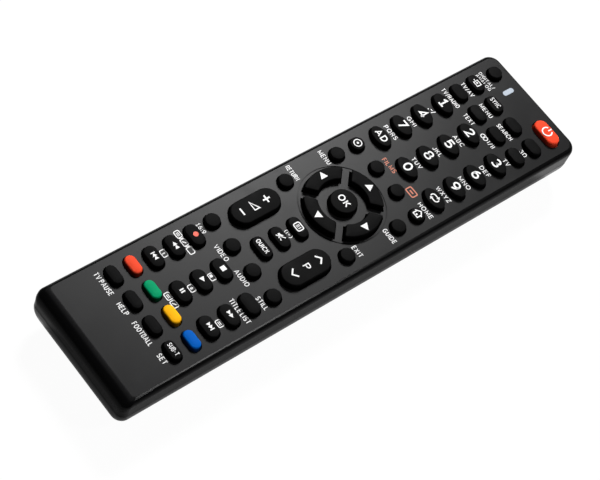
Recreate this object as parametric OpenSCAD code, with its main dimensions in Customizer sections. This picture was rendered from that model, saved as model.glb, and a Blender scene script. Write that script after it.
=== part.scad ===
// Universal television remote control: two case shells, a battery door, a board with a rubber mat,
// and every key as its own piece with a cap, a retaining flange and a stem.
// +Y runs to the infrared end, +X is right with that end up, +Z is up and z = 0 is the flat back.

/* [Case] */
// Length of the case along Y
body_l = 207; // [190:1:225]
// Width of the case along X
body_w = 49.6; // [46:0.2:54]
// Height of the flat key face above the flat back
face_h = 19.4; // [19.2:0.1:22]
// Depth of the upper shell, from the key face down to the seam
upper_depth = 7.2; // [6.8:0.1:7.4]
// Thickness of the key face and of the shell walls
wall = 1.8; // [1.5:0.1:1.9]
// Radius of the shoulder between the long edges of the face and the side walls
shoulder_r = 2.1; // [2:0.1:2.6]
// Width of the fine sloping line along both long edges of the face
crease_w = 0.6; // [0.4:0.1:0.8]
// Height of the straight wall between the seam and the roll at the near end of the face
near_edge = 0.2; // [0.1:0.1:1.5]
// Radius of the edge at the infrared end of the face
far_edge_r = 0.9; // [0.8:0.1:1.6]
// Plan radius of the corners at the infrared end
far_corner_r = 5; // [4:0.2:5.2]
// Plan radius of the corners at the near end
near_corner_r = 5; // [4:0.2:5.2]
// Radius of the round underside along the long sides and at the near end
belly_r = 10.9; // [10.5:0.1:11.8]
// Height and depth of the fine groove that marks the seam
seam_groove = 0.35; // [0.2:0.05:0.5]
// Distance of the fine engraved ring from the direction keys
ring_space = 1.3; // [0.9:0.1:1.5]
// Width of that ring
ring_w = 0.5; // [0.3:0.05:0.6]

/* [Keys] */
// Clearance between a key cap and its opening
key_gap = 0.3; // [0.25:0.05:0.4]
// Travel of a pressed key
travel = 1; // [0.8:0.05:1]
// How far a retaining flange reaches under the face beyond the opening
flange_lip = 0.5; // [0.4:0.05:0.6]
// Space between neighbouring digit keys of a row
digit_space = 5.1; // [4.6:0.1:6]
// Depth of the digit keys
digit_d = 6.3; // [5.8:0.1:6.6]
// Height of the digit keys above the face
digit_rise = 2.1; // [1.6:0.1:2.4]
// Diameter of the small round keys
round_d = 5.9; // [5.2:0.1:6.2]
// Height of the small round keys above the face
round_rise = 1.9; // [1.4:0.1:2.2]
// Space between neighbouring capsule keys of the two upper rows
upper_space = 2.7; // [2.3:0.1:3.7]
// Depth of the capsule keys of the two upper rows
upper_d = 5.2; // [4.6:0.1:5.8]
// Space between neighbouring playback keys of a row
play_space = 6.05; // [5.5:0.05:6.7]
// Depth of the playback keys
play_d = 5.4; // [4.8:0.1:5.8]
// Width of the three keys in the centre column
centre_w = 9.3; // [8.6:0.1:9.6]
// Depth of the three keys in the centre column
centre_d = 4.9; // [4.4:0.1:5.4]
// Space between neighbouring colour keys, and between those of the last row
lower_space = 2.8; // [2.4:0.1:3.5]
// Depth of the colour keys and of the last row
lower_d = 4.5; // [4:0.1:5]
// Height of all capsule keys above the face
capsule_rise = 1.9; // [1.4:0.1:2.2]
// Width of the power key
power_w = 11.8; // [10.5:0.1:12.4]
// Depth of the power key
power_d = 6; // [5.4:0.1:6.4]
// Height of the power key above the face
power_rise = 2.1; // [1.8:0.1:2.6]
// Width of the two rocker keys
rocker_w = 9.7; // [9:0.1:10]
// Length of the two rocker keys
rocker_l = 20.2; // [19:0.1:20.6]
// Height of the two rocker keys above the face
rocker_rise = 2.4; // [1.8:0.1:2.6]
// Space between the confirm key and the direction keys
ok_space = 3.8; // [3.6:0.1:4.2]
// Height of the confirm key above the face
ok_rise = 2.8; // [2.2:0.1:3]
// Distance of the direction keys from the long edges
nav_inset = 10.2; // [10.1:0.1:10.8]
// Depth of the direction keys, from their outer to their inner edge
nav_depth = 5.6; // [5:0.1:5.8]
// Half of the gap between neighbouring direction keys
nav_half_gap = 1.5; // [1.4:0.1:1.8]
// Height of the direction keys above the face
nav_rise = 2.6; // [2:0.1:2.8]

/* [Layout] */
// Distance of the mode and power keys from the infrared end
far_margin = 6.6; // [6:0.1:8]
// Distance of the last row from the near end
near_margin = 25.1; // [22:0.1:30]
// Distance of the power key from the long edge
power_inset = 10.8; // [10.4:0.1:11.4]
// How far the power key lies below the mode key
power_drop = 0.7; // [0:0.1:1]
// Distance of the mode key from the long edge
mode_inset = 8.55; // [7.8:0.05:9.3]
// Distance of the indicator window from the long edge
window_inset = 17.2; // [16.8:0.1:18.8]
// Row of the mode and power keys, from the edge of the direction keys as all rows here
power_row = 74.6; // [74:0.1:75]
// First of the two upper rows of capsule keys
upper_top = 64.48; // [63.4:0.02:65.4]
// Spacing of the two upper rows
upper_row = 8.54; // [8:0.02:9]
// Distance of the outer keys from the long edge in rows of four capsule keys
four_inset = 8.75; // [7.8:0.05:9.2]
// Row of the digits 1, 2 and 3
digit_top = 46.55; // [45.9:0.05:46.9]
// Spacing of the digit rows
digit_row = 10.24; // [9.6:0.02:10.5]
// Distance of the outer digit keys from the long edge
digit_inset = 9.8; // [9.3:0.1:10.8]
// Upper row of four round keys
apps_row = 6.11; // [5.6:0.01:6.9]
// Distance of the outer keys from the long edge in rows of four round keys
round_inset = 7.95; // [7.3:0.05:8.8]
// How far the round keys above the direction keys lie inside the edge of those
menu_in = 3.08; // [2.6:0.02:3.6]
// How far the round keys below the direction keys lie inside the edge of those
return_in = 2.47; // [2:0.01:3]
// Distance of the round keys beside the direction keys from the long edge
side_inset = 7.66; // [7:0.02:7.8]
// First key of the centre column
centre_top = 5.84; // [5.4:0.02:6.4]
// Spacing of the keys in the centre column
centre_row = 7.94; // [7.4:0.02:8.2]
// Row of the two rocker keys
rocker_row = 13.8; // [13.4:0.1:14.4]
// Distance of the two rocker keys from the long edge
rocker_inset = 10.85; // [9.8:0.05:11.4]
// Lower row of four round keys
format_row = 30.06; // [29.4:0.01:30.4]
// First playback row
play_top = 38.9; // [38.4:0.05:39.4]
// Spacing of the playback rows
play_row = 8.55; // [8.2:0.05:8.7]
// Distance of the outer playback keys from the long edge
play_inset = 9.65; // [9.2:0.05:10.4]
// Row of the four colour keys
colour_row = 63.7; // [63.4:0.1:64.2]
// Last row of capsule keys
last_row = 71.5; // [71:0.1:73.4]

/* [Inside] */
// Diameter of a battery cell
cell_d = 10.5; // [10.3:0.1:10.5]
// Length of a battery cell with its button
cell_l = 44.5; // [43.5:0.1:44.6]
// Thickness of the battery door
door_t = 1.5; // [1.4:0.05:1.5]
// Width of the battery door
door_w = 25; // [24.4:0.1:25.4]
// Thickness of the circuit board
board_t = 1; // [0.8:0.1:1]
// Thickness of the rubber mat
mat_t = 0.7; // [0.6:0.05:0.7]
// Diameter of the infrared diode
diode_d = 5; // [4.6:0.1:5]
// Diameter of the case screws
screw_d = 2.2; // [2:0.1:2.4]

/* [Hidden] */
$fn = 64;
// Ends and levels of the case
y_near = -body_l / 2;
y_far = body_l / 2;
side_x = body_w / 2;
seam_z = face_h - upper_depth;
under_z = face_h - wall;
// How far a cut passes beyond the faces it opens, and how far joined pieces reach into each other
cut = 1;
bite = 0.2;
// Direction keys and confirm key, from the long edges inwards
nav_out = side_x - nav_inset;
nav_in = nav_out - nav_depth;
ok_d = 2 * (nav_in - ok_space);
ring_r = nav_out + ring_space;
// Another length of case moves the rows apart or together, and half of the change stays at the near end
rows_above = 8;
rows_below = 7;
spare_l = body_l - far_margin - power_row - 2 * nav_out - last_row - near_margin;
spread = spare_l / (2 * (rows_above + rows_below));
ok_y = y_far - far_margin - power_row - nav_out - rows_above * spread;
// Rows above and below the direction keys, n gaps away from them
function above(row, n) = ok_y + nav_out + row + n * spread;
function below(row, n) = ok_y - nav_out - row - n * spread;
// Columns: rows of four capsule keys, rows of four round keys, and outer keys of the other rows
four_x = side_x - four_inset;
round_x = side_x - round_inset;
digit_x = side_x - digit_inset;
play_x = side_x - play_inset;
beside_x = side_x - side_inset;
rocker_x = side_x - rocker_inset;
quad_x = [-four_x, -four_x / 3, four_x / 3, four_x];
ring_x = [-round_x, -round_x / 3, round_x / 3, round_x];
upper_w = 2 * four_x / 3 - upper_space;
lower_w = 2 * four_x / 3 - lower_space;
digit_w = digit_x - digit_space;
play_w = play_x - play_space;
// The flange rests just under the face; the mat and the board follow below it
flange_clear = 0.2;
flange_t = 0.6;
stop_clear = 0.3;
flange_top = under_z - flange_clear;
flange_low = flange_top - flange_t;
mat_top = flange_low - travel - stop_clear;
board_top = mat_top - mat_t;
board_low = board_top - board_t;
stem_d = 3;
contact_clear = 0.25;
stem_drop = stop_clear + mat_t - contact_clear;
stem_clear = 0.5;
// Rockers turn about a small rib above the mat, so their flange sits lower
rocker_swing = 0.1;
rocker_sink = 0.55;
rocker_gap = key_gap + rocker_swing;
rocker_flange_top = flange_top - rocker_sink;
rocker_flange_t = 0.45;
rocker_rib_r = 0.45;
rocker_rib_clear = 0.1;
rocker_rib_z = mat_top + rocker_rib_clear + rocker_rib_r;
rocker_rib_in = 1;
rocker_stem_y = 6.5;
// Side of the cap leans in a little, and its top edge is round
cap_draft = 0.2;
cap_edge_r = 0.5;
cap_dome = 0.15;
oval_top_in = 0.5;
// Roll of the near end, and shoulder of the upper shell, whose arc starts where the crease ends
near_roll_r = upper_depth - near_edge;
shoulder_a = 28.6;
crease_a = 25;
crease_drop = crease_w * tan(crease_a);
ring_depth = 0.25;
seat_gap = 0.05;
diode_gap = 0.1;
shoulder_x = side_x - shoulder_r;
shoulder_z = face_h - crease_drop - shoulder_r * cos(shoulder_a);
crease_x = shoulder_x + shoulder_r * sin(shoulder_a);
// Round underside of the lower shell
far_belly_r = 6;
// The corners turn in small steps from the long side to the end
corner_turns = [15 : 15 : 75];
far_round_r = 2.6;
lip_t = 0.9;
lip_clear = 0.2;
lip_h = 1.4;
lip_bite = 0.05;
lip_root = 1;
inner_x = side_x - wall - lip_clear - lip_t;
near_wall = 4;
inner_near = y_near + near_wall + lip_clear;
inner_far = y_far - wall - lip_clear - lip_t;
// Battery bay, cells side by side along Y
door_lift = 0.15;
knuckle_r = door_t / 2;
knuckle_z = door_lift + knuckle_r;
plate_t = 0.4;
plate_w = 8;
spring_l = 3.6;
spring_wire = 0.6;
spring_turns = 3;
spring_sides = 8;
spring_steps = 20;
spring_wide_r = 4;
spring_tight_r = 1.8;
button_d = 3.8;
button_l = 1;
cell_gap = 0.5;
cell_lift = 0.25;
cell_side = 0.4;
cell_over = 0.2;
cell_end = 0.1;
bay_margin = 19;
cell_x = (cell_d + cell_gap) / 2;
cell_z = door_lift + door_t + cell_lift + cell_d / 2;
bay_x = cell_x + cell_d / 2 + cell_side;
bay_near = y_near + bay_margin;
bay_l = 2 * plate_t + spring_l + cell_l + cell_end;
bay_far = bay_near + bay_l;
bay_top = cell_z + cell_d / 2 + cell_over;
bay_wall = 1.2;
ceiling_t = 0.8;
floor_bite = wall / 2;
door_gap = 0.3;
hinge_in = 0.2;
door_over = 0.4;
hinge_y = bay_near + hinge_in;
door_far = bay_far + door_over;
pin_r = 0.4;
pin_l = 1.4;
tongue_w = 10;
tongue_l = 9;
slot_w = 0.7;
grip_lines = 5;
grip_pitch = 1.5;
grip_line = 0.6;
grip_w = 7;
grip_depth = 0.35;
scoop_r = 4.5;
scoop_w = 10;
scoop_depth = 0.9;
scoop_out = 1.5;
// Screws: two between the upper keys and the digits, two beyond the battery bay
screw_up = 3.25;
screw_col = 12;
screw_margin = 9.5;
screw_far = [digit_x / 2, above(digit_top, 5) + screw_up];
screw_near = [screw_col, y_near + screw_margin];
screw_at = [for (s = [-1, 1]) for (p = [screw_far, screw_near]) [s * p[0], p[1]]];
boss_d = 4.4;
boss_clear = 0.4;
post_d = 6.4;
head_d = 4.2;
head_t = 1.4;
head_gap = 0.2;
head_slot = [2.6, 0.6, 0.8];
head_z = 3.2;
screw_l = 12;
// Infrared diode and indicator window at the far end
diode_z = (seam_z + under_z) / 2;
diode_l = 9;
diode_near = y_far - diode_l;
diode_clear = 0.6;
diode_inset = 0.3;
leg_d = 0.5;
leg_pitch = 2.54;
leg_l = 5;
window_low = 0.3;
window_at = [window_inset - side_x, above(power_row, rows_above) - window_low];
window_w = 2;
window_d = 5.1;
window_proud = 0.05;
window_flange = 0.5;
// Board outline
board_clear = 0.7;
board_x = inner_x - board_clear;
board_margin = 14.5;
board_near = y_near + board_margin;
board_far = inner_far - board_clear;
board_corner_r = 2;
mat_in = 0.6;
lamp = [1.2, 1.8, 0.6];
chip = [10, 10, 1.6];
chip_row = 15;
chip_side = 12;
chip_at = [0, ok_y + chip_row];
resonator = [4.5, 2.4, 3];
resonator_at = [chip_side, ok_y + chip_row];
driver = [4, 3, 1.2];
driver_back = 7.8;
driver_at = [0, diode_near - leg_l - driver_back];
capacitor_d = 5;
capacitor_l = 5.5;
capacitor_at = [-chip_side, ok_y + chip_row];
lamp_clear = 1;
board_rib_t = 1.2;
board_rib_in = 3;
board_rib_from_bay = 6;
board_rib_from_end = 10;
board_rib_x = board_x - board_rib_in;
board_rib_out = board_rib_x + board_rib_t / 2 - side_x + belly_r;
board_rib_z = wall / 2 + belly_r - sqrt(pow(belly_r, 2) - pow(board_rib_out, 2));
board_rib_near = bay_far + board_rib_from_bay;
board_rib_far = board_far - board_rib_from_end;

// Keys: name, colour, shape, width, depth, rise, places
dark = "#161617";
digit_names = [["key_1", "key_2", "key_3"], ["key_4", "key_5", "key_6"],
    ["key_7", "key_8", "key_9"], ["key_description", "key_0", "key_recall"]];
play_names = [["key_record", "key_stop", "key_list"], ["key_rewind", "key_play", "key_forward"],
    ["key_previous", "key_pause", "key_next"]];
centre_names = ["key_guide", "key_mute", "key_quick"];
colour_names = ["key_red", "key_green", "key_yellow", "key_blue"];
nav_names = ["key_right", "key_up", "key_left", "key_down"];
rocker_names = ["key_volume", "key_program"];
red = "#e8452c";
colour_tints = [red, "#0f9a62", "#fbb414", "#0a5ccc"];

// Two keys of one row, at y, that share a node
function pair(name, kind, w, d, rise, xs, y) =
    [name, dark, kind, w, d, rise, [for (x = xs) [x, y]]];
function side_name(name, s) = str(name, s == 0 ? "_left" : "_right");
function two_of(xs, s) = [xs[2 * s], xs[2 * s + 1]];

KEYS = concat(
    [["key_mode", dark, "round", round_d, round_d, round_rise,
        [[mode_inset - side_x, above(power_row, rows_above)]]],
     ["key_power", red, "capsule", power_w, power_d, power_rise,
        [[side_x - power_inset, above(power_row, rows_above) - power_drop]]]],
    [for (i = [0, 1]) for (s = [0, 1])
        pair(side_name(str("keys_upper_", i + 1), s), "capsule", upper_w, upper_d, capsule_rise,
            two_of(quad_x, s), above(upper_top - i * upper_row, 7 - i))],
    [for (r = [0 : 3]) for (c = [0 : 2])
        [digit_names[r][c], dark, "oval", digit_w, digit_d, digit_rise,
            [[(c - 1) * digit_x, above(digit_top - r * digit_row, 5 - r)]]]],
    [for (s = [0, 1])
        pair(side_name("keys_apps", s), "round", round_d, round_d, round_rise,
            two_of(ring_x, s), above(apps_row, 1))],
    [pair("keys_menu_guide", "round", round_d, round_d, round_rise,
        [-beside_x, beside_x], above(-menu_in, 0)),
     pair("keys_return_exit", "round", round_d, round_d, round_rise,
        [-beside_x, beside_x], below(-return_in, 0)),
     ["key_ok", dark, "round", ok_d, ok_d, ok_rise, [[0, ok_y]]]],
    [for (i = [0 : 3])
        [nav_names[i], dark, "arc", nav_in, nav_out, nav_rise, [[0, ok_y]], 90 * i]],
    [for (i = [0 : 2])
        [centre_names[i], dark, "capsule", centre_w, centre_d, capsule_rise,
            [[0, below(centre_top + i * centre_row, 1)]]]],
    [for (i = [0, 1])
        [rocker_names[i], dark, "rocker", rocker_w, rocker_l, rocker_rise,
            [[(2 * i - 1) * rocker_x, below(rocker_row, 1)]]]],
    [for (s = [0, 1])
        pair(side_name("keys_format", s), "round", round_d, round_d, round_rise,
            two_of(ring_x, s), below(format_row, 2))],
    [for (r = [0 : 2]) for (c = [0 : 2])
        [play_names[r][c], dark, "capsule", play_w, play_d, capsule_rise,
            [[(c - 1) * play_x, below(play_top + r * play_row, 3 + r)]]]],
    [for (i = [0 : 3])
        [colour_names[i], colour_tints[i], "capsule", lower_w, lower_d, capsule_rise,
            [[quad_x[i], below(colour_row, 6)]]]],
    [for (s = [0, 1])
        pair(side_name("keys_last", s), "capsule", lower_w, lower_d, capsule_rise,
            two_of(quad_x, s), below(last_row, rows_below))]
);

// Plain outlines

// Rectangle with two corner radii, one for each end
module case_outline(x, y0, y1, r0, r1) {
    translate([-x, y0 + r0]) square([2 * x, y1 - y0 - r0 - r1]);
    translate([-x + r0, y0]) square([2 * x - 2 * r0, y1 - y0]);
    translate([-x + r1, y0 + r0]) square([2 * x - 2 * r1, y1 - y0 - r0]);
    for (s = [-1, 1]) {
        translate([s * (x - r0), y0 + r0]) circle(r0);
        translate([s * (x - r1), y1 - r1]) circle(r1);
    }
}

// Capsule along X
module capsule_outline(w, d) {
    square([w - d, d], center = true);
    for (s = [-1, 1]) translate([s * (w - d) / 2, 0]) circle(d / 2);
}

// Quarter of a ring about the Y axis, with ends parallel to the diagonals
module arc_outline(r0, r1, half_gap) {
    apex = half_gap * sqrt(2);
    intersection() {
        difference() {
            circle(r1);
            circle(r0);
        }
        polygon([[0, apex], [r1 + cut, r1 + cut + apex], [-r1 - cut, r1 + cut + apex]]);
    }
}

// Outline of a key in plan, grown by g on every side
module key_outline(k, g) {
    w = k[3] + 2 * g;
    d = k[4] + 2 * g;
    if (k[2] == "round") circle(w / 2);
    if (k[2] == "oval") scale([w / d, 1]) circle(d / 2);
    if (k[2] == "capsule") capsule_outline(w, d);
    if (k[2] == "rocker") rotate(90) capsule_outline(d, w);
    if (k[2] == "arc") rotate(k[7] - 90) arc_outline(k[3] - g, k[4] + g, nav_half_gap - g);
}

// Puts children at every place of a key
module at_key(k) {
    for (p = k[6]) translate([p[0], p[1], 0]) children();
}

// Half profile of a cap: leaning side, round edge, slightly domed top
function cap_profile(r, z0, z1) = concat(
    [[0, z0], [r, z0], [r, face_h]],
    [for (a = [0 : 15 : 75])
        [r - cap_draft - cap_edge_r * (1 - cos(a)), z1 - cap_dome - cap_edge_r * (1 - sin(a))]],
    [[r - cap_draft - cap_edge_r, z1 - cap_dome],
        [(r - cap_draft - cap_edge_r) / 2, z1 - cap_dome / 4], [0, z1]]
);

// Cap and flange of an oval key as one loft of ovals, each given by how far it grows and by its level
function oval_rings(k, z0, reach, z1) = concat(
    [[reach, z0], [reach, z0 + flange_t], [0, z0 + flange_t], [0, face_h]],
    [for (a = [0 : 30 : 60])
        [-cap_draft - cap_edge_r * (1 - cos(a)), z1 - cap_dome - cap_edge_r * (1 - sin(a))]],
    [[-cap_draft - cap_edge_r, z1 - cap_dome], [-k[4] / 4 - oval_top_in, z1]]
);

module oval_piece(k, z0, reach, z1) {
    n = 32;
    rings = oval_rings(k, z0, reach, z1);
    polyhedron(
        [for (g = rings) for (j = [0 : n - 1])
            [(k[3] / 2 + g[0]) * cos(360 * j / n), (k[4] / 2 + g[0]) * sin(360 * j / n), g[1]]],
        tube_faces(n, len(rings)));
}

// Faces of a closed tube: m rings of n points each, in turn, with an end face at both ends
function tube_faces(n, m) = concat(
    [[for (j = [0 : n - 1]) j]],
    [for (i = [0 : m - 2]) for (j = [0 : n - 1])
        [i * n + j, (i + 1) * n + j, (i + 1) * n + (j + 1) % n, i * n + (j + 1) % n]],
    [[for (j = [n - 1 : -1 : 0]) (m - 1) * n + j]]
);

module round_cap(r, z0, z1) {
    rotate_extrude() polygon(cap_profile(r, z0, z1));
}

module capsule_cap(w, d, z0, z1) {
    half = cap_profile(d / 2, z0, z1);
    for (s = [0, 180]) rotate(s) translate([(w - d) / 2, 0, 0])
        rotate([0, 0, -90]) rotate_extrude(angle = 180) polygon(half);
    rotate([90, 0, 90]) linear_extrude(w - d, center = true)
        polygon(concat(half, [for (i = [len(half) - 2 : -1 : 1]) [-half[i][0], half[i][1]]]));
}

module arc_cap(k, z0, z1) {
    e = cap_edge_r;
    rotate(k[7] - 90) intersection() {
        rotate_extrude() polygon(concat(
            [[k[3], z0], [k[4], z0], [k[4], face_h]],
            [for (a = [0 : 15 : 90]) [k[4] - cap_draft - e * (1 - cos(a)), z1 - e * (1 - sin(a))]],
            [for (a = [90 : 15 : 180]) [k[3] + cap_draft + e * (1 + cos(a)), z1 - e * (1 - sin(a))]],
            [[k[3], face_h]]));
        translate([0, 0, z0 - cut]) linear_extrude(z1 - z0 + 2 * cut)
            arc_outline(k[3] - cut, k[4] + cut, nav_half_gap);
    }
}

// Places of the stems of a key
function stem_places(k) =
    k[2] == "rocker" ? [[0, rocker_stem_y], [0, -rocker_stem_y]] :
    k[2] == "arc" ? [[cos(k[7]) * (k[3] + k[4]) / 2, sin(k[7]) * (k[3] + k[4]) / 2]] : [[0, 0]];

// Sub-parts

// One key, or two of one row: cap through the face, flange below it, stem towards the board
module key_piece(k) {
    z1 = face_h + k[5];
    rocks = k[2] == "rocker";
    top = rocks ? rocker_flange_top : flange_top;
    thick = rocks ? rocker_flange_t : flange_t;
    z0 = top - thick;
    reach = (rocks ? rocker_gap : key_gap) + flange_lip;
    color(k[1]) at_key(k) {
        if (k[2] == "round") round_cap(k[3] / 2, z0, z1);
        if (k[2] == "oval") oval_piece(k, z0, reach, z1);
        if (k[2] == "capsule") capsule_cap(k[3], k[4], z0, z1);
        if (rocks) rotate(90) capsule_cap(k[4], k[3], z0, z1);
        if (k[2] == "arc") arc_cap(k, z0, z1);
        if (k[2] != "oval") translate([0, 0, z0]) linear_extrude(thick) key_outline(k, reach);
        for (p = stem_places(k)) translate([p[0], p[1], z0 - stem_drop])
            cylinder(d = stem_d, h = stem_drop + bite);
        if (rocks) rocker_rib(k[3] - 2 * rocker_rib_in, z0);
    }
}

// Round-edged rib under the middle of a rocker
module rocker_rib(l, z0) {
    translate([0, 0, rocker_rib_z]) rotate([0, 90, 0]) cylinder(r = rocker_rib_r, h = l, center = true);
    translate([-l / 2, -rocker_rib_r, rocker_rib_z]) cube([l, 2 * rocker_rib_r, z0 + bite - rocker_rib_z]);
}

// Upper shell: crossing of plan, cross-section and side view, hollow, with an opening for every key
module upper_case() {
    color("#3d3d3f") difference() {
        union() {
            difference() {
                upper_block();
                translate([-side_x + wall, y_near + near_wall, seam_z - cut])
                    cube([body_w - 2 * wall, body_l - near_wall - wall, under_z - seam_z + cut]);
            }
            for (p = screw_at) translate([p[0], p[1], seam_z])
                cylinder(d = boss_d, h = under_z - seam_z + bite);
        }
        for (k = KEYS) at_key(k) translate([0, 0, under_z - cut]) linear_extrude(wall + 2 * cut)
            key_outline(k, k[2] == "rocker" ? rocker_gap : key_gap);
        translate([window_at[0], window_at[1], under_z - cut]) linear_extrude(wall + 2 * cut)
            rotate(90) capsule_outline(window_d + 2 * seat_gap, window_w + 2 * seat_gap);
        translate([0, ok_y, face_h - ring_depth]) difference() {
            cylinder(r = ring_r + ring_w / 2, h = ring_depth + cut);
            translate([0, 0, -cut]) cylinder(r = ring_r - ring_w / 2, h = ring_depth + 3 * cut);
        }
        for (p = screw_at) translate([p[0], p[1], seam_z - cut])
            cylinder(d = screw_d + 2 * seat_gap, h = under_z - seam_z);
        translate([0, y_far - wall - cut, diode_z]) rotate([-90, 0, 0])
            cylinder(d = diode_d + 2 * diode_gap, h = wall + 2 * cut);
    }
}

module upper_block() {
    intersection() {
        translate([0, 0, seam_z]) linear_extrude(upper_depth + cut)
            case_outline(side_x, y_near, y_far + far_corner_r, near_corner_r, far_corner_r);
        rotate([90, 0, 0]) linear_extrude(body_l + 2 * cut, center = true) upper_section();
        rotate([90, 0, 90]) linear_extrude(body_w + 2 * cut, center = true) upper_side();
        intersection_for (s = [-1, 1]) intersection_for (a = corner_turns)
            at_corner(s, 1, far_corner_r, a) round_top(far_corner_r, far_round_r);
    }
}

// Flat top whose outer edge at x is round
module round_top(x, r) {
    polygon([[-2 * body_l, seam_z], [x, seam_z], [x, face_h - r], [x - r, face_h], [-2 * body_l, face_h]]);
    translate([x - r, face_h - r]) circle(r);
}

module upper_section() {
    polygon([[-side_x, seam_z], [side_x, seam_z], [side_x, shoulder_z],
        [crease_x, face_h - crease_drop], [crease_x - crease_w, face_h],
        [crease_w - crease_x, face_h], [-crease_x, face_h - crease_drop], [-side_x, shoulder_z]]);
    for (s = [-1, 1]) translate([s * shoulder_x, shoulder_z]) circle(shoulder_r);
}

module upper_side() {
    polygon([[y_near, seam_z], [y_far, seam_z], [y_far, face_h - far_edge_r], [y_far - far_edge_r, face_h],
        [y_near + near_roll_r, face_h], [y_near, face_h - near_roll_r]]);
    translate([y_far - far_edge_r, face_h - far_edge_r]) circle(far_edge_r);
    translate([y_near + near_roll_r, face_h - near_roll_r]) circle(near_roll_r);
}

// Lower shell: round underside, flat back, lip, battery bay, screw posts
module lower_case() {
    color("#131314") difference() {
        union() {
            difference() {
                lower_block();
                lower_hollow();
                seam_line();
            }
            lip();
            translate([-bay_x - bay_wall, bay_near - bay_wall, floor_bite])
                cube([2 * (bay_x + bay_wall), bay_l + 2 * bay_wall, bay_top + ceiling_t - floor_bite]);
            for (p = screw_at) translate([p[0], p[1], floor_bite])
                cylinder(d = post_d, h = seam_z - floor_bite);
            for (s = [-1, 1]) translate([s * board_rib_x - board_rib_t / 2, board_rib_near, board_rib_z])
                cube([board_rib_t, board_rib_far - board_rib_near, board_low - board_rib_z]);
        }
        translate([-bay_x, bay_near, -cut]) cube([2 * bay_x, bay_l, bay_top + cut]);
        door_opening();
        for (p = screw_at) translate([p[0], p[1], -cut]) {
            cylinder(d = screw_d + 2 * seat_gap, h = seam_z + 2 * cut);
            cylinder(d = head_d + 2 * head_gap, h = head_z + cut);
        }
        translate([-diode_d / 2 - diode_clear, inner_far - cut, seam_z])
            cube([diode_d + 2 * diode_clear, lip_t + 2 * cut, lip_h + cut]);
    }
}

module lower_block() {
    intersection() {
        linear_extrude(seam_z) case_outline(side_x, y_near, y_far, near_corner_r, far_corner_r);
        rotate([90, 0, 0]) linear_extrude(body_l + 2 * cut, center = true)
            round_bottom(side_x, side_x, 0, belly_r, belly_r);
        rotate([90, 0, 90]) linear_extrude(body_w + 2 * cut, center = true)
            round_bottom(-y_near, y_far, 0, belly_r, far_belly_r);
    }
}

// Long bar with the given profile, whose side touches a case corner of radius r where the corner has turned
// by a from the long side; s and e tell the side and the end
module at_corner(s, e, r, a) {
    translate([s * (side_x - r), e * (y_far - r), 0]) rotate(atan2(e * sin(a), s * cos(a)))
        rotate([90, 0, 0]) linear_extrude(2 * body_l, center = true) children();
}

module lower_hollow() {
    intersection() {
        translate([0, 0, wall]) linear_extrude(face_h)
            case_outline(inner_x, inner_near, inner_far, near_corner_r - wall, far_corner_r - wall);
        rotate([90, 0, 0]) linear_extrude(body_l + 2 * cut, center = true)
            round_bottom(inner_x, inner_x, wall, belly_r - wall, belly_r - wall);
        rotate([90, 0, 90]) linear_extrude(body_w + 2 * cut, center = true)
            round_bottom(-inner_near, inner_far, wall, belly_r - wall, far_belly_r - wall);
    }
}

// Flat bottom at z0 with a round corner on each side, straight above
module round_bottom(x0, x1, z0, r0, r1) {
    intersection() {
        union() {
            polygon([[-x0 + r0, z0], [x1 - r1, z0], [x1, z0 + r1],
                [x1, face_h], [-x0, face_h], [-x0, z0 + r0]]);
            translate([-x0 + r0, z0 + r0]) circle(r0);
            translate([x1 - r1, z0 + r1]) circle(r1);
        }
        translate([-2 * body_l, z0 - cut]) square([4 * body_l, face_h + cut - z0]);
    }
}

// Fine groove just under the seam
module seam_line() {
    translate([0, 0, seam_z - seam_groove]) difference() {
        translate([-body_w, -body_l, 0]) cube([2 * body_w, 2 * body_l, seam_groove + cut]);
        translate([0, 0, -cut]) linear_extrude(seam_groove + 3 * cut)
            case_outline(side_x - seam_groove, y_near + seam_groove, y_far - seam_groove,
                near_corner_r - seam_groove, far_corner_r - seam_groove);
    }
}

// Tongue that stands inside the upper shell
module lip() {
    translate([0, 0, seam_z - lip_root]) linear_extrude(lip_h + lip_root) difference() {
        lip_outline(0);
        lip_outline(lip_t);
    }
}

module lip_outline(g) {
    translate([-inner_x - lip_t + g, inner_near - lip_bite + g])
        square([2 * (inner_x + lip_t - g), inner_far + lip_t - inner_near + lip_bite - 2 * g]);
}

// Opening for the door, bores for its hinge pins and a scoop for a finger
module door_opening() {
    translate([-door_w / 2 - door_gap, hinge_y - knuckle_r - door_gap, -cut])
        cube([door_w + 2 * door_gap, door_far - hinge_y + knuckle_r + 2 * door_gap,
            cut + door_lift + door_t + door_gap]);
    translate([0, hinge_y, knuckle_z]) rotate([0, 90, 0])
        cylinder(r = pin_r + door_gap, h = door_w + 2 * pin_l + 2 * door_gap, center = true);
    translate([0, door_far + scoop_out, scoop_depth - scoop_r]) rotate([0, 90, 0])
        cylinder(r = scoop_r, h = scoop_w, center = true);
}

// Battery door with a round hinge edge, two pins, grip lines and a springy tongue between two slots
module battery_door() {
    color("#161617") difference() {
        union() {
            translate([0, hinge_y, knuckle_z]) rotate([0, 90, 0]) {
                cylinder(r = knuckle_r, h = door_w, center = true);
                cylinder(r = pin_r, h = door_w + 2 * pin_l, center = true);
            }
            translate([-door_w / 2, hinge_y, door_lift]) cube([door_w, door_far - hinge_y, door_t]);
        }
        for (s = [-1, 1]) translate([s * tongue_w / 2 - slot_w / 2, door_far - tongue_l, -cut])
            cube([slot_w, tongue_l + cut, door_lift + door_t + 2 * cut]);
        for (i = [1 : grip_lines]) translate([-grip_w / 2, door_far - grip_pitch * i - grip_line / 2, -cut])
            cube([grip_w, grip_line, cut + door_lift + grip_depth]);
    }
}

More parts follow.
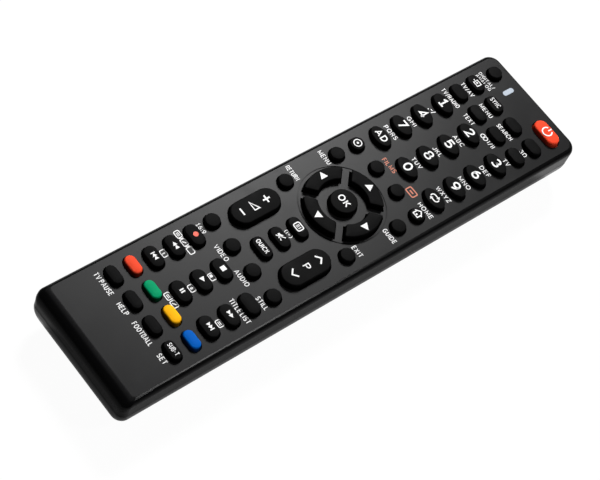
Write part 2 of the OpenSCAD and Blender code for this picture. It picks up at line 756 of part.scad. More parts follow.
// Board with holes round the screw bosses and a notch for the infrared diode
module circuit_board() {
    color("#2f6b3c") translate([0, 0, board_low]) linear_extrude(board_t)
        board_outline(board_x, board_near, board_far, boss_clear);
}

module board_outline(x, y0, y1, clear) {
    difference() {
        case_outline(x, y0, y1, board_corner_r, board_corner_r);
        for (p = screw_at) translate(p) circle(d = boss_d + 2 * clear);
        translate([-diode_d / 2 - diode_clear, diode_near - diode_clear])
            square([diode_d + 2 * diode_clear, diode_l + diode_clear]);
    }
}

// Parts on the board: controller, resonator, capacitor and driver below, indicator lamp above
module board_components() {
    color("#1a1a1c") under_board(chip, chip_at);
    color("#b9bcc0") under_board(resonator, resonator_at);
    color("#1a1a1c") under_board(driver, driver_at);
    color("#2a3140") translate([capacitor_at[0], capacitor_at[1], board_low - capacitor_l])
        cylinder(d = capacitor_d, h = capacitor_l);
    color("#f2f2ea") translate([window_at[0] - lamp[0] / 2, window_at[1] - lamp[1] / 2, board_top])
        cube(lamp);
}

module under_board(size, at) {
    translate([at[0] - size[0] / 2, at[1] - size[1] / 2, board_low - size[2]]) cube(size);
}

// Rubber mat with a hole round every stem
module key_mat() {
    color("#55575a") translate([0, 0, board_top]) linear_extrude(mat_t) difference() {
        board_outline(board_x - mat_in, board_near + mat_in, board_far - mat_in, boss_clear);
        for (k = KEYS) for (p = k[6]) for (s = stem_places(k))
            translate([p[0] + s[0], p[1] + s[1]]) circle(d = stem_d + 2 * stem_clear);
        translate(window_at) square([lamp[0] + 2 * lamp_clear, lamp[1] + 2 * lamp_clear], center = true);
        translate([-diode_d / 2, diode_near - leg_l - diode_clear]) square([diode_d, leg_l]);
    }
}

// Infrared diode in the end wall, with its two legs on the board
module infrared_diode() {
    dome_y = y_far - diode_inset - diode_d / 2;
    color("#a9b4c6") {
        translate([0, diode_near, diode_z]) rotate([-90, 0, 0])
            cylinder(d = diode_d, h = dome_y - diode_near);
        translate([0, dome_y, diode_z]) sphere(d = diode_d);
        for (x = [-leg_pitch / 2, leg_pitch / 2]) translate([x, diode_near - leg_l, board_top + leg_d / 2])
            rotate([-90, 0, 0]) cylinder(d = leg_d, h = leg_l + bite);
    }
}

// Light pipe of the indicator, with a flange under the face
module indicator_window() {
    pipe_z = board_top + lamp[2] + contact_clear;
    color("#c3d2e0") translate([window_at[0], window_at[1], 0]) rotate(90) {
        translate([0, 0, pipe_z]) linear_extrude(face_h + window_proud - pipe_z)
            capsule_outline(window_d, window_w);
        translate([0, 0, under_z - flange_t]) linear_extrude(flange_t)
            capsule_outline(window_d + 2 * window_flange, window_w + 2 * window_flange);
    }
}

// Two cells, facing opposite ways
module batteries() {
    color("#2b5d8c") for (s = [-1, 1]) {
        low = s < 0 ? bay_near + plate_t + spring_l : bay_far - plate_t - spring_l;
        translate([s * cell_x, low, cell_z]) rotate([s < 0 ? -90 : 90, 0, 0]) {
            cylinder(d = cell_d, h = cell_l - button_l);
            cylinder(d = button_d, h = cell_l);
        }
    }
}

// Coil of round wire as one tube: rings of points along a narrowing helix
module coil(l, r0, r1, turns, wire, sides, steps) {
    n = steps * turns;
    polyhedron(
        [for (i = [0 : n]) for (j = [0 : sides - 1])
            let (t = i / n, a = 360 * turns * t, r = r0 + (r1 - r0) * t + wire / 2 * cos(360 * j / sides))
            [r * cos(a), r * sin(a), wire / 2 + (l - wire) * t - wire / 2 * sin(360 * j / sides)]],
        tube_faces(sides, n + 1));
}

// Plates at both ends of the bay and a coil spring for each cell
module battery_contacts() {
    color("#b8bbbf") {
        translate([-cell_x - plate_w / 2, bay_near, cell_z - plate_w / 2])
            cube([2 * cell_x + plate_w, plate_t, plate_w]);
        for (s = [-1, 1]) translate([s * cell_x - plate_w / 2, bay_far - plate_t, cell_z - plate_w / 2])
            cube([plate_w, plate_t, plate_w]);
        translate([-cell_x, bay_near + plate_t, cell_z]) rotate([-90, 0, 0]) contact_coil();
        translate([cell_x, bay_far - plate_t, cell_z]) rotate([90, 0, 0]) contact_coil();
    }
}

module contact_coil() {
    coil(spring_l, spring_wide_r, spring_tight_r, spring_turns, spring_wire, spring_sides, spring_steps);
}

// Screws with flat cross heads
module case_screws() {
    color("#8d9094") for (p = screw_at) translate([p[0], p[1], head_z - head_t]) difference() {
        union() {
            cylinder(d = head_d, h = head_t);
            cylinder(d = screw_d, h = head_t + screw_l);
        }
        for (a = [0, 90]) rotate(a) translate([-head_slot[0] / 2, -head_slot[1] / 2, -cut])
            cube([head_slot[0], head_slot[1], cut + head_slot[2]]);
    }
}

upper_case();
lower_case();
battery_door();
circuit_board();
board_components();
key_mat();
infrared_diode();
indicator_window();
batteries();
battery_contacts();
case_screws();
for (k = KEYS) {
    key_piece(k);
}
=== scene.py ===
from math import asin, cos, pi, radians, sin, sqrt

import bmesh
import bpy
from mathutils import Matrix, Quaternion, Vector


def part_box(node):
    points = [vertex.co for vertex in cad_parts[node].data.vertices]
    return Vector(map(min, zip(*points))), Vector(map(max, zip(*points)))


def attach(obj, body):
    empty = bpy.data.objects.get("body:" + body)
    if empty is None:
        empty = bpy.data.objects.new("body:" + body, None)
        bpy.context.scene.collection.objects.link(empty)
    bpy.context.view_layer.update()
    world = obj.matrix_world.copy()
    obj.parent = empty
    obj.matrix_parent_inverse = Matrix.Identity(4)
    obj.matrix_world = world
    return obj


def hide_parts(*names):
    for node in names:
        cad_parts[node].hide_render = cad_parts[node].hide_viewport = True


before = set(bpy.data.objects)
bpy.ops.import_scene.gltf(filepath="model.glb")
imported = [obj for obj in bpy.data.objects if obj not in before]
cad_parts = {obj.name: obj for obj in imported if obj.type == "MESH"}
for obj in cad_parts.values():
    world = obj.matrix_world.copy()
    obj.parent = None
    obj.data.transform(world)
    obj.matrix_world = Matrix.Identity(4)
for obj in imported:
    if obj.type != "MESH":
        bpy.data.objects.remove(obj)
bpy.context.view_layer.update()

# Shapes are drawn in mm, and finish_mesh turns them into metres; the stage is in metres
scene = bpy.context.scene
scene.view_settings.view_transform = "Standard"
mm = 0.001


def middle(node):
    lo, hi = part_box(node)
    return Vector(((lo.x + hi.x) / 2 / mm, (lo.y + hi.y) / 2 / mm))


ok_at = middle("key_ok")
# Radius of the engraved ring round the confirm key, and half the width of the painted shadow laid over
# its groove
ring_r, ring_shade_half_w = 15.9, 0.27


# Node helpers

def link(tree, out, socket):
    tree.links.new(out, socket)


def feed(tree, socket, value):
    # Takes a number, a colour or the output of another node
    if isinstance(value, (int, float)):
        socket.default_value = value
    elif isinstance(value, tuple):
        socket.default_value = (*value, 1)
    else:
        link(tree, value, socket)


def math_node(tree, kind, a, b=0.0):
    n = tree.nodes.new("ShaderNodeMath")
    n.operation = kind
    for socket, value in zip(n.inputs, (a, b)):
        feed(tree, socket, value)
    return n.outputs[0]


def ramp(tree, value, low, high, to_low=0.0, to_high=1.0):
    n = tree.nodes.new("ShaderNodeMapRange")
    n.interpolation_type = "SMOOTHSTEP"
    for name, v in (("Value", value), ("From Min", low), ("From Max", high),
                    ("To Min", to_low), ("To Max", to_high)):
        feed(tree, n.inputs[name], v)
    return n.outputs["Result"]


def blend_colour(tree, mask, a, b):
    n = tree.nodes.new("ShaderNodeMix")
    n.data_type = "RGBA"
    for socket, value in ((n.inputs["Factor"], mask), (n.inputs[6], a), (n.inputs[7], b)):
        feed(tree, socket, value)
    return n.outputs[2]


def coordinates(tree, kind="Object"):
    return tree.nodes.new("ShaderNodeTexCoord").outputs[kind]


def axes_of(tree, vector):
    n = tree.nodes.new("ShaderNodeSeparateXYZ")
    link(tree, vector, n.inputs[0])
    return n.outputs


def noise(tree, where, scale, detail=2.0, rough=0.5):
    n = tree.nodes.new("ShaderNodeTexNoise")
    for name, v in (("Vector", where), ("Scale", scale), ("Detail", detail), ("Roughness", rough)):
        feed(tree, n.inputs[name], v)
    return n.outputs["Fac"]


def mix_shader(tree, mask, a, b):
    n = tree.nodes.new("ShaderNodeMixShader")
    for socket, out in zip(n.inputs, (mask, a, b)):
        link(tree, out, socket)
    return n.outputs[0]


# Effects that several finishes share

def new_group(name, inputs, outputs):
    g = bpy.data.node_groups.new(name, "ShaderNodeTree")
    for label, value in inputs:
        s = g.interface.new_socket(label, in_out="INPUT", socket_type="NodeSocketFloat")
        s.default_value = value
    for label in outputs:
        g.interface.new_socket(label, in_out="OUTPUT", socket_type="NodeSocketFloat")
    return g, g.nodes.new("NodeGroupInput").outputs, g.nodes.new("NodeGroupOutput").inputs


def make_moulding_grain():
    # Spark-eroded mould texture, with the slow tone drift of a moulded wall
    g, given, out = new_group("moulding_grain", [("Cells per Metre", 4000.0)], ["Height", "Tone"])
    where = coordinates(g)
    link(g, noise(g, where, given["Cells per Metre"], 3.0), out["Height"])
    link(g, ramp(g, noise(g, where, 45.0, 3.0), 0.3, 0.7), out["Tone"])
    return g


def make_handling():
    # Faint smears of fingertips, and tiny specks
    g, given, out = new_group("handling", [("Amount", 1.0)], ["Smear", "Specks"])
    where = coordinates(g)
    smear = ramp(g, noise(g, where, 90.0, 4.0, 0.6), 0.48, 0.72)
    link(g, math_node(g, "MULTIPLY", smear, given["Amount"]), out["Smear"])
    specks = ramp(g, noise(g, where, 2600.0, 1.0), 0.74, 0.8)
    link(g, math_node(g, "MULTIPLY", specks, given["Amount"]), out["Specks"])
    return g


def make_face_mask():
    # 1 on a face that looks straight up or down, 0 on walls and rolled edges
    g, given, out = new_group("face_mask", [("Start", 0.9), ("End", 0.995)], ["Flat"])
    upright = math_node(g, "ABSOLUTE", axes_of(g, coordinates(g, "Normal"))["Z"])
    link(g, ramp(g, upright, given["Start"], given["End"]), out["Flat"])
    return g


moulding_grain = make_moulding_grain()
handling = make_handling()
face_mask = make_face_mask()


def place(tree, group, **values):
    n = tree.nodes.new("ShaderNodeGroup")
    n.node_tree = group
    for label, v in values.items():
        n.inputs[label.replace("_", " ")].default_value = v
    return n.outputs


# Finishes

def new_finish(name):
    m = bpy.data.materials.new(name)
    m.use_nodes = True
    m.node_tree.nodes.clear()
    b = m.node_tree.nodes.new("ShaderNodeBsdfPrincipled")
    o = m.node_tree.nodes.new("ShaderNodeOutputMaterial")
    link(m.node_tree, b.outputs[0], o.inputs["Surface"])
    return m, m.node_tree, b


def bump(tree, b, height, strength, depth):
    n = tree.nodes.new("ShaderNodeBump")
    n.inputs["Strength"].default_value = strength
    n.inputs["Distance"].default_value = depth
    link(tree, height, n.inputs["Height"])
    link(tree, n.outputs["Normal"], b.inputs["Normal"])


def smeared(tree, rough, smear, change):
    # Roughness with the change that handling brings
    return math_node(tree, "ADD", rough, math_node(tree, "MULTIPLY", smear, change))


def make_face_plastic():
    # Satin on the flat face, polished on the rolled edges and walls; painted shade makes the walls and
    # rolled edges darker than the face, and a painted shadow darkens the engraved ring
    m, t, b = new_finish("face_plastic")
    grain = place(t, moulding_grain, Cells_per_Metre=3800.0)
    flat = place(t, face_mask, Start=0.90, End=0.995)["Flat"]
    hands = place(t, handling, Amount=1.0)
    satin = blend_colour(t, grain["Tone"], (0.0078, 0.0078, 0.0081), (0.0102, 0.0102, 0.0105))
    # Painted shade: walls and rolled edges take a darker colour than the flat face
    colour = blend_colour(t, flat, (0.003, 0.003, 0.0032), satin)
    at = axes_of(t, coordinates(t))
    across = math_node(t, "SUBTRACT", at["X"], ok_at.x * mm)
    along = math_node(t, "SUBTRACT", at["Y"], ok_at.y * mm)
    far = math_node(t, "SQRT", math_node(t, "ADD", math_node(t, "MULTIPLY", across, across),
                                         math_node(t, "MULTIPLY", along, along)))
    # Painted shadow: a dark band over the groove of the engraved ring
    off = math_node(t, "ABSOLUTE", math_node(t, "SUBTRACT", far, ring_r * mm))
    ring = math_node(t, "LESS_THAN", off, ring_shade_half_w * mm)
    link(t, blend_colour(t, ring, colour, (0.002, 0.002, 0.002)), b.inputs["Base Color"])
    rough = ramp(t, flat, 0.0, 1.0, 0.2, 0.29)
    link(t, smeared(t, rough, hands["Smear"], 0.03), b.inputs["Roughness"])
    b.inputs["Specular IOR Level"].default_value = 0.058
    bump(t, b, grain["Height"], strength=0.05, depth=0.00002)
    return m


def make_shell_plastic():
    # Polished walls, and a matt texture on the flat back and the door, whose colour is painted paler as
    # painted light, since no lamp reaches them from below
    m, t, b = new_finish("shell_plastic")
    grain = place(t, moulding_grain, Cells_per_Metre=2600.0)
    hands = place(t, handling, Amount=1.0)
    flat = place(t, face_mask, Start=0.7, End=0.99)["Flat"]
    wall = blend_colour(t, grain["Tone"], (0.006, 0.006, 0.0065), (0.009, 0.009, 0.0095))
    # Painted light: the flat back and the door are painted paler than the walls
    back = blend_colour(t, grain["Tone"], (0.032, 0.032, 0.033), (0.050, 0.050, 0.051))
    back = blend_colour(t, hands["Smear"], back, (0.040, 0.040, 0.0405))
    link(t, blend_colour(t, flat, wall, back), b.inputs["Base Color"])
    rough = ramp(t, flat, 0.0, 1.0, 0.2, 0.48)
    link(t, smeared(t, rough, hands["Smear"], 0.06), b.inputs["Roughness"])
    b.inputs["Specular IOR Level"].default_value = 0.16
    bump(t, b, grain["Height"], strength=0.12, depth=0.00003)
    return m


def make_rubber(name, low, high, rough, gloss, side):
    # Smooth silicone; side is the share of the colour left on the walls of a cap, painted shade for
    # walls that the lamps hardly reach
    m, t, b = new_finish(name)
    grain = place(t, moulding_grain, Cells_per_Metre=5200.0)
    hands = place(t, handling, Amount=1.0)
    tone = blend_colour(t, grain["Tone"], low, high)
    pale = tuple(min(1.0, c * 1.25 + 0.004) for c in high)
    tone = blend_colour(t, hands["Specks"], tone, pale)
    # Painted shade: the walls of a cap take a darker colour than its crown
    lit_crown = place(t, face_mask, Start=0.05, End=0.75)["Flat"]
    link(t, blend_colour(t, lit_crown, tuple(c * side for c in low), tone), b.inputs["Base Color"])
    link(t, smeared(t, rough, hands["Smear"], -0.06), b.inputs["Roughness"])
    b.inputs["Specular IOR Level"].default_value = gloss
    bump(t, b, grain["Height"], strength=0.08, depth=0.00002)
    return m


def make_ink(name, thin, full):
    # Screen-printed ink, a little thinner where the screen's threads were
    m, t, b = new_finish(name)
    cover = ramp(t, noise(t, coordinates(t), 5200.0, 2.0), 0.25, 0.6)
    link(t, blend_colour(t, cover, thin, full), b.inputs["Base Color"])
    grain = place(t, moulding_grain, Cells_per_Metre=6500.0)
    link(t, ramp(t, grain["Height"], 0.3, 0.7, 0.42, 0.58), b.inputs["Roughness"])
    b.inputs["Specular IOR Level"].default_value = 0.3
    return m


def make_resin(name, core, rim, rough, through):
    # Cast resin, a little cloudy; through tells how clear it is
    m, t, b = new_finish(name)
    cloud = ramp(t, noise(t, coordinates(t), 380.0, 3.0), 0.3, 0.75)
    link(t, blend_colour(t, cloud, core, rim), b.inputs["Base Color"])
    hands = place(t, handling, Amount=1.0)
    link(t, smeared(t, rough, hands["Smear"], 0.08), b.inputs["Roughness"])
    b.inputs["Transmission Weight"].default_value = through
    return m


def make_board():
    # Green solder mask with copper tracks that show through it
    m, t, b = new_finish("board")
    tracks = t.nodes.new("ShaderNodeTexBrick")
    for label, v in (("Vector", coordinates(t)), ("Scale", 240.0), ("Mortar Size", 0.06),
                     ("Brick Width", 1.9), ("Row Height", 0.42)):
        feed(t, tracks.inputs[label], v)
    grain = place(t, moulding_grain, Cells_per_Metre=1800.0)
    mask = blend_colour(t, grain["Tone"], (0.012, 0.105, 0.032), (0.018, 0.135, 0.044))
    link(t, blend_colour(t, tracks.outputs["Fac"], mask, (0.05, 0.20, 0.06)), b.inputs["Base Color"])
    link(t, ramp(t, grain["Height"], 0.2, 0.8, 0.28, 0.42), b.inputs["Roughness"])
    bump(t, b, tracks.outputs["Fac"], strength=0.3, depth=0.00003)
    return m


def make_cell_jacket():
    # Film jacket with a pale band at one end, bare steel at both ends; the two cells lie head to tail
    steel_end, band_w = 1.6 * mm, 13 * mm
    m, t, b = new_finish("cell_jacket")
    lo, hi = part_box("batteries")
    at = axes_of(t, coordinates(t))
    along = at["Y"]
    steel_near = math_node(t, "LESS_THAN", along, lo.y + steel_end)
    steel_far = math_node(t, "GREATER_THAN", along, hi.y - steel_end)
    steel = math_node(t, "MAXIMUM", steel_near, steel_far)
    right = math_node(t, "GREATER_THAN", at["X"], 0.0)
    from_band_end = t.nodes.new("ShaderNodeMix")
    link(t, right, from_band_end.inputs["Factor"])
    link(t, math_node(t, "SUBTRACT", hi.y, along), from_band_end.inputs[2])
    link(t, math_node(t, "SUBTRACT", along, lo.y), from_band_end.inputs[3])
    band = math_node(t, "LESS_THAN", from_band_end.outputs[0], band_w)
    grain = place(t, moulding_grain, Cells_per_Metre=1500.0)
    film = blend_colour(t, grain["Tone"], (0.020, 0.085, 0.20), (0.026, 0.105, 0.24))
    film = blend_colour(t, band, film, (0.62, 0.63, 0.64))
    link(t, blend_colour(t, steel, film, (0.55, 0.55, 0.56)), b.inputs["Base Color"])
    link(t, steel, b.inputs["Metallic"])
    link(t, ramp(t, grain["Height"], 0.2, 0.8, 0.2, 0.32), b.inputs["Roughness"])
    return m


def make_grained(name, low, high, rough, cells, relief, depth, metal=0.0):
    # Tone and roughness that follow the grain, as on moulded pieces and plated metal
    m, t, b = new_finish(name)
    grain = place(t, moulding_grain, Cells_per_Metre=cells)
    link(t, blend_colour(t, grain["Tone"], low, high), b.inputs["Base Color"])
    link(t, ramp(t, grain["Height"], 0.25, 0.75, *rough), b.inputs["Roughness"])
    b.inputs["Metallic"].default_value = metal
    bump(t, b, grain["Height"], relief, depth)
    return m


face_plastic = make_face_plastic()
shell_plastic = make_shell_plastic()
# side=0.5 paints shade on the walls of the black caps
key_rubber = make_rubber("key_rubber", (0.0014, 0.0014, 0.0015), (0.0022, 0.0022, 0.0023),
                         rough=0.62, gloss=0.042, side=0.5)
colour_rough, colour_gloss = 0.58, 0.03
colour_rubber = {}
# The last column, side, paints shade on the walls of each coloured cap
for node, name, low, high, side in (
        ("key_power", "power_rubber", (0.84, 0.062, 0.024), (0.90, 0.072, 0.028), 0.7),
        ("key_red", "red_rubber", (0.80, 0.068, 0.027), (0.86, 0.078, 0.032), 0.25),
        ("key_green", "green_rubber", (0.001, 0.285, 0.118), (0.002, 0.315, 0.132), 0.25),
        ("key_yellow", "yellow_rubber", (0.95, 0.435, 0.005), (1.0, 0.475, 0.007), 0.25),
        ("key_blue", "blue_rubber", (0.0003, 0.094, 0.43), (0.0006, 0.106, 0.48), 0.25)):
    colour_rubber[node] = make_rubber(name, low, high, colour_rough, colour_gloss, side)
white_ink = make_ink("white_ink", (0.78, 0.78, 0.78), (0.88, 0.88, 0.88))
orange_ink = make_ink("orange_ink", (0.48, 0.13, 0.065), (0.56, 0.16, 0.085))
red_ink = make_ink("red_ink", (0.76, 0.07, 0.03), (0.84, 0.085, 0.035))

cad_finishes = {
    "upper_case": face_plastic,
    "lower_case": shell_plastic,
    "battery_door": shell_plastic,
    "circuit_board": make_board(),
    "board_components": make_grained("component", (0.008, 0.008, 0.009), (0.016, 0.016, 0.017),
                                     rough=(0.4, 0.55), cells=2500.0, relief=0.25, depth=0.00002),
    "key_mat": make_grained("mat_rubber", (0.075, 0.08, 0.085), (0.095, 0.10, 0.105),
                            rough=(0.55, 0.7), cells=2200.0, relief=0.25, depth=0.00003),
    "infrared_diode": make_resin("diode_resin", (0.34, 0.38, 0.46), (0.44, 0.48, 0.56),
                                 rough=0.06, through=0.7),
    "indicator_window": make_resin("window_resin", (0.24, 0.29, 0.36), (0.30, 0.355, 0.43),
                                   rough=0.3, through=0.0),
    "batteries": make_cell_jacket(),
    "battery_contacts": make_grained("contact_metal", (0.60, 0.60, 0.59), (0.66, 0.66, 0.65),
                                     rough=(0.16, 0.26), cells=3000.0,
                                     relief=0.12, depth=0.00002, metal=1.0),
    "case_screws": make_grained("screw_metal", (0.40, 0.41, 0.43), (0.47, 0.48, 0.50),
                                rough=(0.24, 0.38), cells=3500.0,
                                relief=0.12, depth=0.00002, metal=1.0),
}
for node, finish in cad_finishes.items():
    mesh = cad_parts[node].data
    mesh.materials.clear()
    mesh.materials.append(finish)


# Key caps: outlines in mm, drawn in by an inset so that rings can follow the moulded profile

def bow(x, y, rx, ry, start, end, steps=12):
    # Points on an arc, with its angles in degrees
    return [(x + rx * cos(radians(start + (end - start) * i / steps)),
             y + ry * sin(radians(start + (end - start) * i / steps))) for i in range(steps + 1)]


def capsule_outline(w, d, inset, steps=20):
    r = min(w, d) / 2 - inset
    half = abs(w - d) / 2
    pts = []
    for side, start in ((1, -90), (-1, 90)):
        pts += [Vector(p) for p in bow(side * half, 0, r, r, start, start + 180, steps)]
    if d > w:
        pts = [Vector((-p.y, p.x)) for p in pts]
    return pts


def oval_outline(w, d, inset, steps=64):
    a, b = w / 2 - inset, d / 2 - inset
    return [Vector((a * cos(2 * pi * i / steps), b * sin(2 * pi * i / steps))) for i in range(steps)]


nav_corner, least_ease, ease_steps = 1.0, 0.25, (0.0, 0.2, 0.4, 0.6, 0.8, 1.0)


def arc_outline(r_in, r_out, half_gap, turn, inset, steps=20):
    # A quarter of a ring whose ends run along the diagonals, with eased corners
    inner, outer, gap = r_in + inset, r_out - inset, half_gap + inset
    ease = max(nav_corner - inset, least_ease)

    def at(r, a):
        return Vector((r * cos(a), r * sin(a)))

    def end_angle(r):
        return pi / 4 - asin(gap / r)

    def eased(before, peak, after):
        return [before * (1 - s) ** 2 + peak * 2 * s * (1 - s) + after * s ** 2 for s in ease_steps]

    a_out, a_in = end_angle(outer), end_angle(inner)
    corners = [at(outer, -a_out), at(outer, a_out), at(inner, a_in), at(inner, -a_in)]
    along = (corners[1] - corners[2]).normalized()
    back = (corners[0] - corners[3]).normalized()
    trim_out, trim_in = ease / outer, ease / inner
    pts = eased(corners[0] - back * ease, corners[0], at(outer, -a_out + trim_out))
    pts += [at(outer, (-1 + 2 * i / steps) * (a_out - trim_out)) for i in range(1, steps)]
    pts += eased(at(outer, a_out - trim_out), corners[1], corners[1] - along * ease)
    pts += eased(corners[2] + along * ease, corners[2], at(inner, a_in - trim_in))
    pts += [at(inner, (1 - 2 * i / steps) * (a_in - trim_in)) for i in range(1, steps)]
    pts += eased(at(inner, -a_in + trim_in), corners[3], corners[3] + back * ease)
    c, s = cos(turn), sin(turn)
    return [Vector((c * p.x - s * p.y, s * p.x + c * p.y)) for p in pts]


def loft(bm, rings):
    rows = [[bm.verts.new(p) for p in ring] for ring in rings]
    count = len(rows[0])
    for low, high in zip(rows, rows[1:]):
        for i in range(count):
            j = (i + 1) % count
            bm.faces.new((low[i], low[j], high[j], high[i]))
    bm.faces.new(list(reversed(rows[0])))
    bm.faces.new(rows[-1])


draft, foot = 0.2, 0.03
edge_round, colour_round, edge_steps = 0.48, 0.8, 9
dome, crown_reach, crown_steps = 0.13, 0.8, (0.15, 0.35, 0.6, 0.85)
print_room = 0.03
stem_r, stem_ease, stem_bevel, stem_sides = 1.5, 0.25, 0.07, 32


def add_cap(bm, outline, centre, z_low, z_flange, reach, z_top, half_width, rounding=edge_round):
    # Flange under the face, drafted wall, rounded edge and a slightly crowned top
    top = z_top - print_room
    rings = [(-reach, z_low), (-reach, z_flange), (0.0, z_flange), (foot, z_flange + foot)]
    z_edge = top - dome - rounding
    rings.append((draft, z_edge))
    for i in range(1, edge_steps + 1):
        a = radians(90 * i / edge_steps)
        rings.append((draft + rounding * (1 - cos(a)), z_edge + rounding * sin(a)))
    start = draft + rounding
    for s in crown_steps:
        rings.append((start + (half_width - start) * crown_reach * s, top - dome * (1 - s) ** 2))
    loft(bm, [[(centre[0] + p.x, centre[1] + p.y, z) for p in outline(inset)] for inset, z in rings])


def add_stem(bm, x, y, z_low, z_high):
    profile = ((stem_r - stem_ease, z_low), (stem_r - stem_bevel, z_low + stem_bevel),
               (stem_r, z_low + stem_ease), (stem_r, z_high))
    turns = [2 * pi * i / stem_sides for i in range(stem_sides)]
    loft(bm, [[(x + r * cos(a), y + r * sin(a), z) for a in turns] for r, z in profile])


def finish_mesh(bm, name, finish, sharp=35):
    bmesh.ops.recalc_face_normals(bm, faces=bm.faces)
    bmesh.ops.scale(bm, vec=(mm, mm, mm), verts=bm.verts)
    mesh = bpy.data.meshes.new(name)
    bm.to_mesh(mesh)
    bm.free()
    mesh.polygons.foreach_set("use_smooth", [True] * len(mesh.polygons))
    mesh.set_sharp_from_angle(angle=radians(sharp))
    mesh.materials.append(finish)
    piece = bpy.data.objects.new(name, mesh)
    scene.collection.objects.link(piece)
    return piece


flange_reach = 0.8
flange_low, flange_high = 16.8, 17.4
rocker_reach = 0.9
rocker_flange_low, rocker_flange_high = 16.4, 16.85
rocker_stem_y, rocker_stem_low = 6.5, 16.05
stem_sink = 0.1
nav_depth = 5.6
nav_half_gap = 1.5

# Nodes of two caps, with the shape of their caps
sizes = {"round": (5.9, 5.9), "upper": (8.0, 5.2), "lower": (7.9, 4.5)}
shapes = {}
for node in ("keys_apps_left", "keys_apps_right", "keys_menu_guide", "keys_return_exit",
             "keys_format_left", "keys_format_right"):
    shapes[node] = "round"
for side in ("left", "right"):
    for row in ("1", "2"):
        shapes["keys_upper_" + row + "_" + side] = "upper"
    shapes["keys_last_" + side] = "lower"
digit_nodes = ["key_1", "key_2", "key_3", "key_4", "key_5", "key_6", "key_7", "key_8", "key_9",
               "key_description", "key_0", "key_recall"]
nav_nodes = {"key_right": 0, "key_up": 90, "key_left": 180, "key_down": 270}
rocker_nodes = ["key_volume", "key_program"]


def top_of(node):
    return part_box(node)[1].z / mm


nav_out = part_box("key_right")[1].x / mm - flange_reach - ok_at.x
nav_in = nav_out - nav_depth


def key_places(node):
    # The middle of each cap of a node, in mm
    if node in nav_nodes:
        a = radians(nav_nodes[node])
        r = (nav_in + nav_out) / 2
        return [ok_at + Vector((r * cos(a), r * sin(a)))]
    at = middle(node)
    if node not in shapes:
        return [at]
    lo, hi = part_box(node)
    w = sizes[shapes[node]][0] / 2 + flange_reach
    return [Vector((lo.x / mm + w, at.y)), Vector((hi.x / mm - w, at.y))]


def make_key(node):
    bm = bmesh.new()
    lo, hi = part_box(node)
    z_top = top_of(node)
    w, d = (hi.x - lo.x) / mm - 2 * flange_reach, (hi.y - lo.y) / mm - 2 * flange_reach
    if node in nav_nodes:
        turn = radians(nav_nodes[node])
        add_cap(bm, lambda inset: arc_outline(nav_in, nav_out, nav_half_gap, turn, inset), ok_at,
                flange_low, flange_high, flange_reach, z_top, nav_depth / 2)
    elif node in rocker_nodes:
        w, d = w - 2 * (rocker_reach - flange_reach), d - 2 * (rocker_reach - flange_reach)
        add_cap(bm, lambda inset: capsule_outline(w, d, inset), middle(node),
                rocker_flange_low, rocker_flange_high, rocker_reach, z_top, w / 2)
    else:
        if node in shapes:
            w, d = sizes[shapes[node]]
        draw = oval_outline if node in digit_nodes else capsule_outline
        rounding = colour_round if node in colour_rubber else edge_round
        for at in key_places(node):
            add_cap(bm, lambda inset: draw(w, d, inset), at,
                    flange_low, flange_high, flange_reach, z_top, min(w, d) / 2, rounding)
    for at in key_places(node):
        if node in rocker_nodes:
            for side in (-rocker_stem_y, rocker_stem_y):
                add_stem(bm, at.x, at.y + side, rocker_stem_low, rocker_flange_low + stem_sink)
        else:
            add_stem(bm, at.x, at.y, lo.z / mm, flange_low + stem_sink)
    piece = finish_mesh(bm, "cap_" + node, colour_rubber.get(node, key_rubber))
    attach(piece, node)
    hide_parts(node)


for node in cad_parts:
    if node.startswith(("key_", "keys_")) and node != "key_mat":
        make_key(node)


# Lower shell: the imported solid, with the corners of its underside rolled

belly_r, far_belly_r, shell_corner_r = 10.9, 6.0, 5.0
shell_room, form_below, form_above = 0.05, 0.3, 1.0
shell_sharp, normal_weight = 30, 80
weld, level_z = 1e-6, 0.9999


def belly_inset(z, r):
    # How far the round underside draws the wall in at a height
    return r - sqrt(max(0.0, r * r - (r - max(z, 0.0)) ** 2)) if z < r else 0.0


def shell_form(lo, hi):
    # Round underside whose corners keep their plan radius all the way down
    heights = [belly_r * (1 - sin(radians(a))) for a in range(90, -1, -6)]
    r = shell_corner_r
    rings = []
    for z in [-form_below] + heights + [hi.z + form_above]:
        x = hi.x - belly_inset(z, belly_r) + shell_room
        near = lo.y + belly_inset(z, belly_r) - shell_room
        far = hi.y - belly_inset(z, far_belly_r) + shell_room
        ring = []
        for cx, cy, start in ((x - r, far - r, 0), (r - x, far - r, 90),
                              (r - x, near + r, 180), (x - r, near + r, 270)):
            ring += [(px, py, z) for px, py in bow(cx, cy, r, r, start, start + 90)]
        rings.append(ring)
    bm = bmesh.new()
    loft(bm, rings)
    return bm


def worked(piece, kind, **values):
    # The mesh of a piece with one modifier applied
    step = piece.modifiers.new(kind.lower(), kind)
    for name, value in values.items():
        setattr(step, name, value)
    mesh = bpy.data.meshes.new_from_object(piece.evaluated_get(bpy.context.evaluated_depsgraph_get()))
    piece.modifiers.clear()
    return mesh


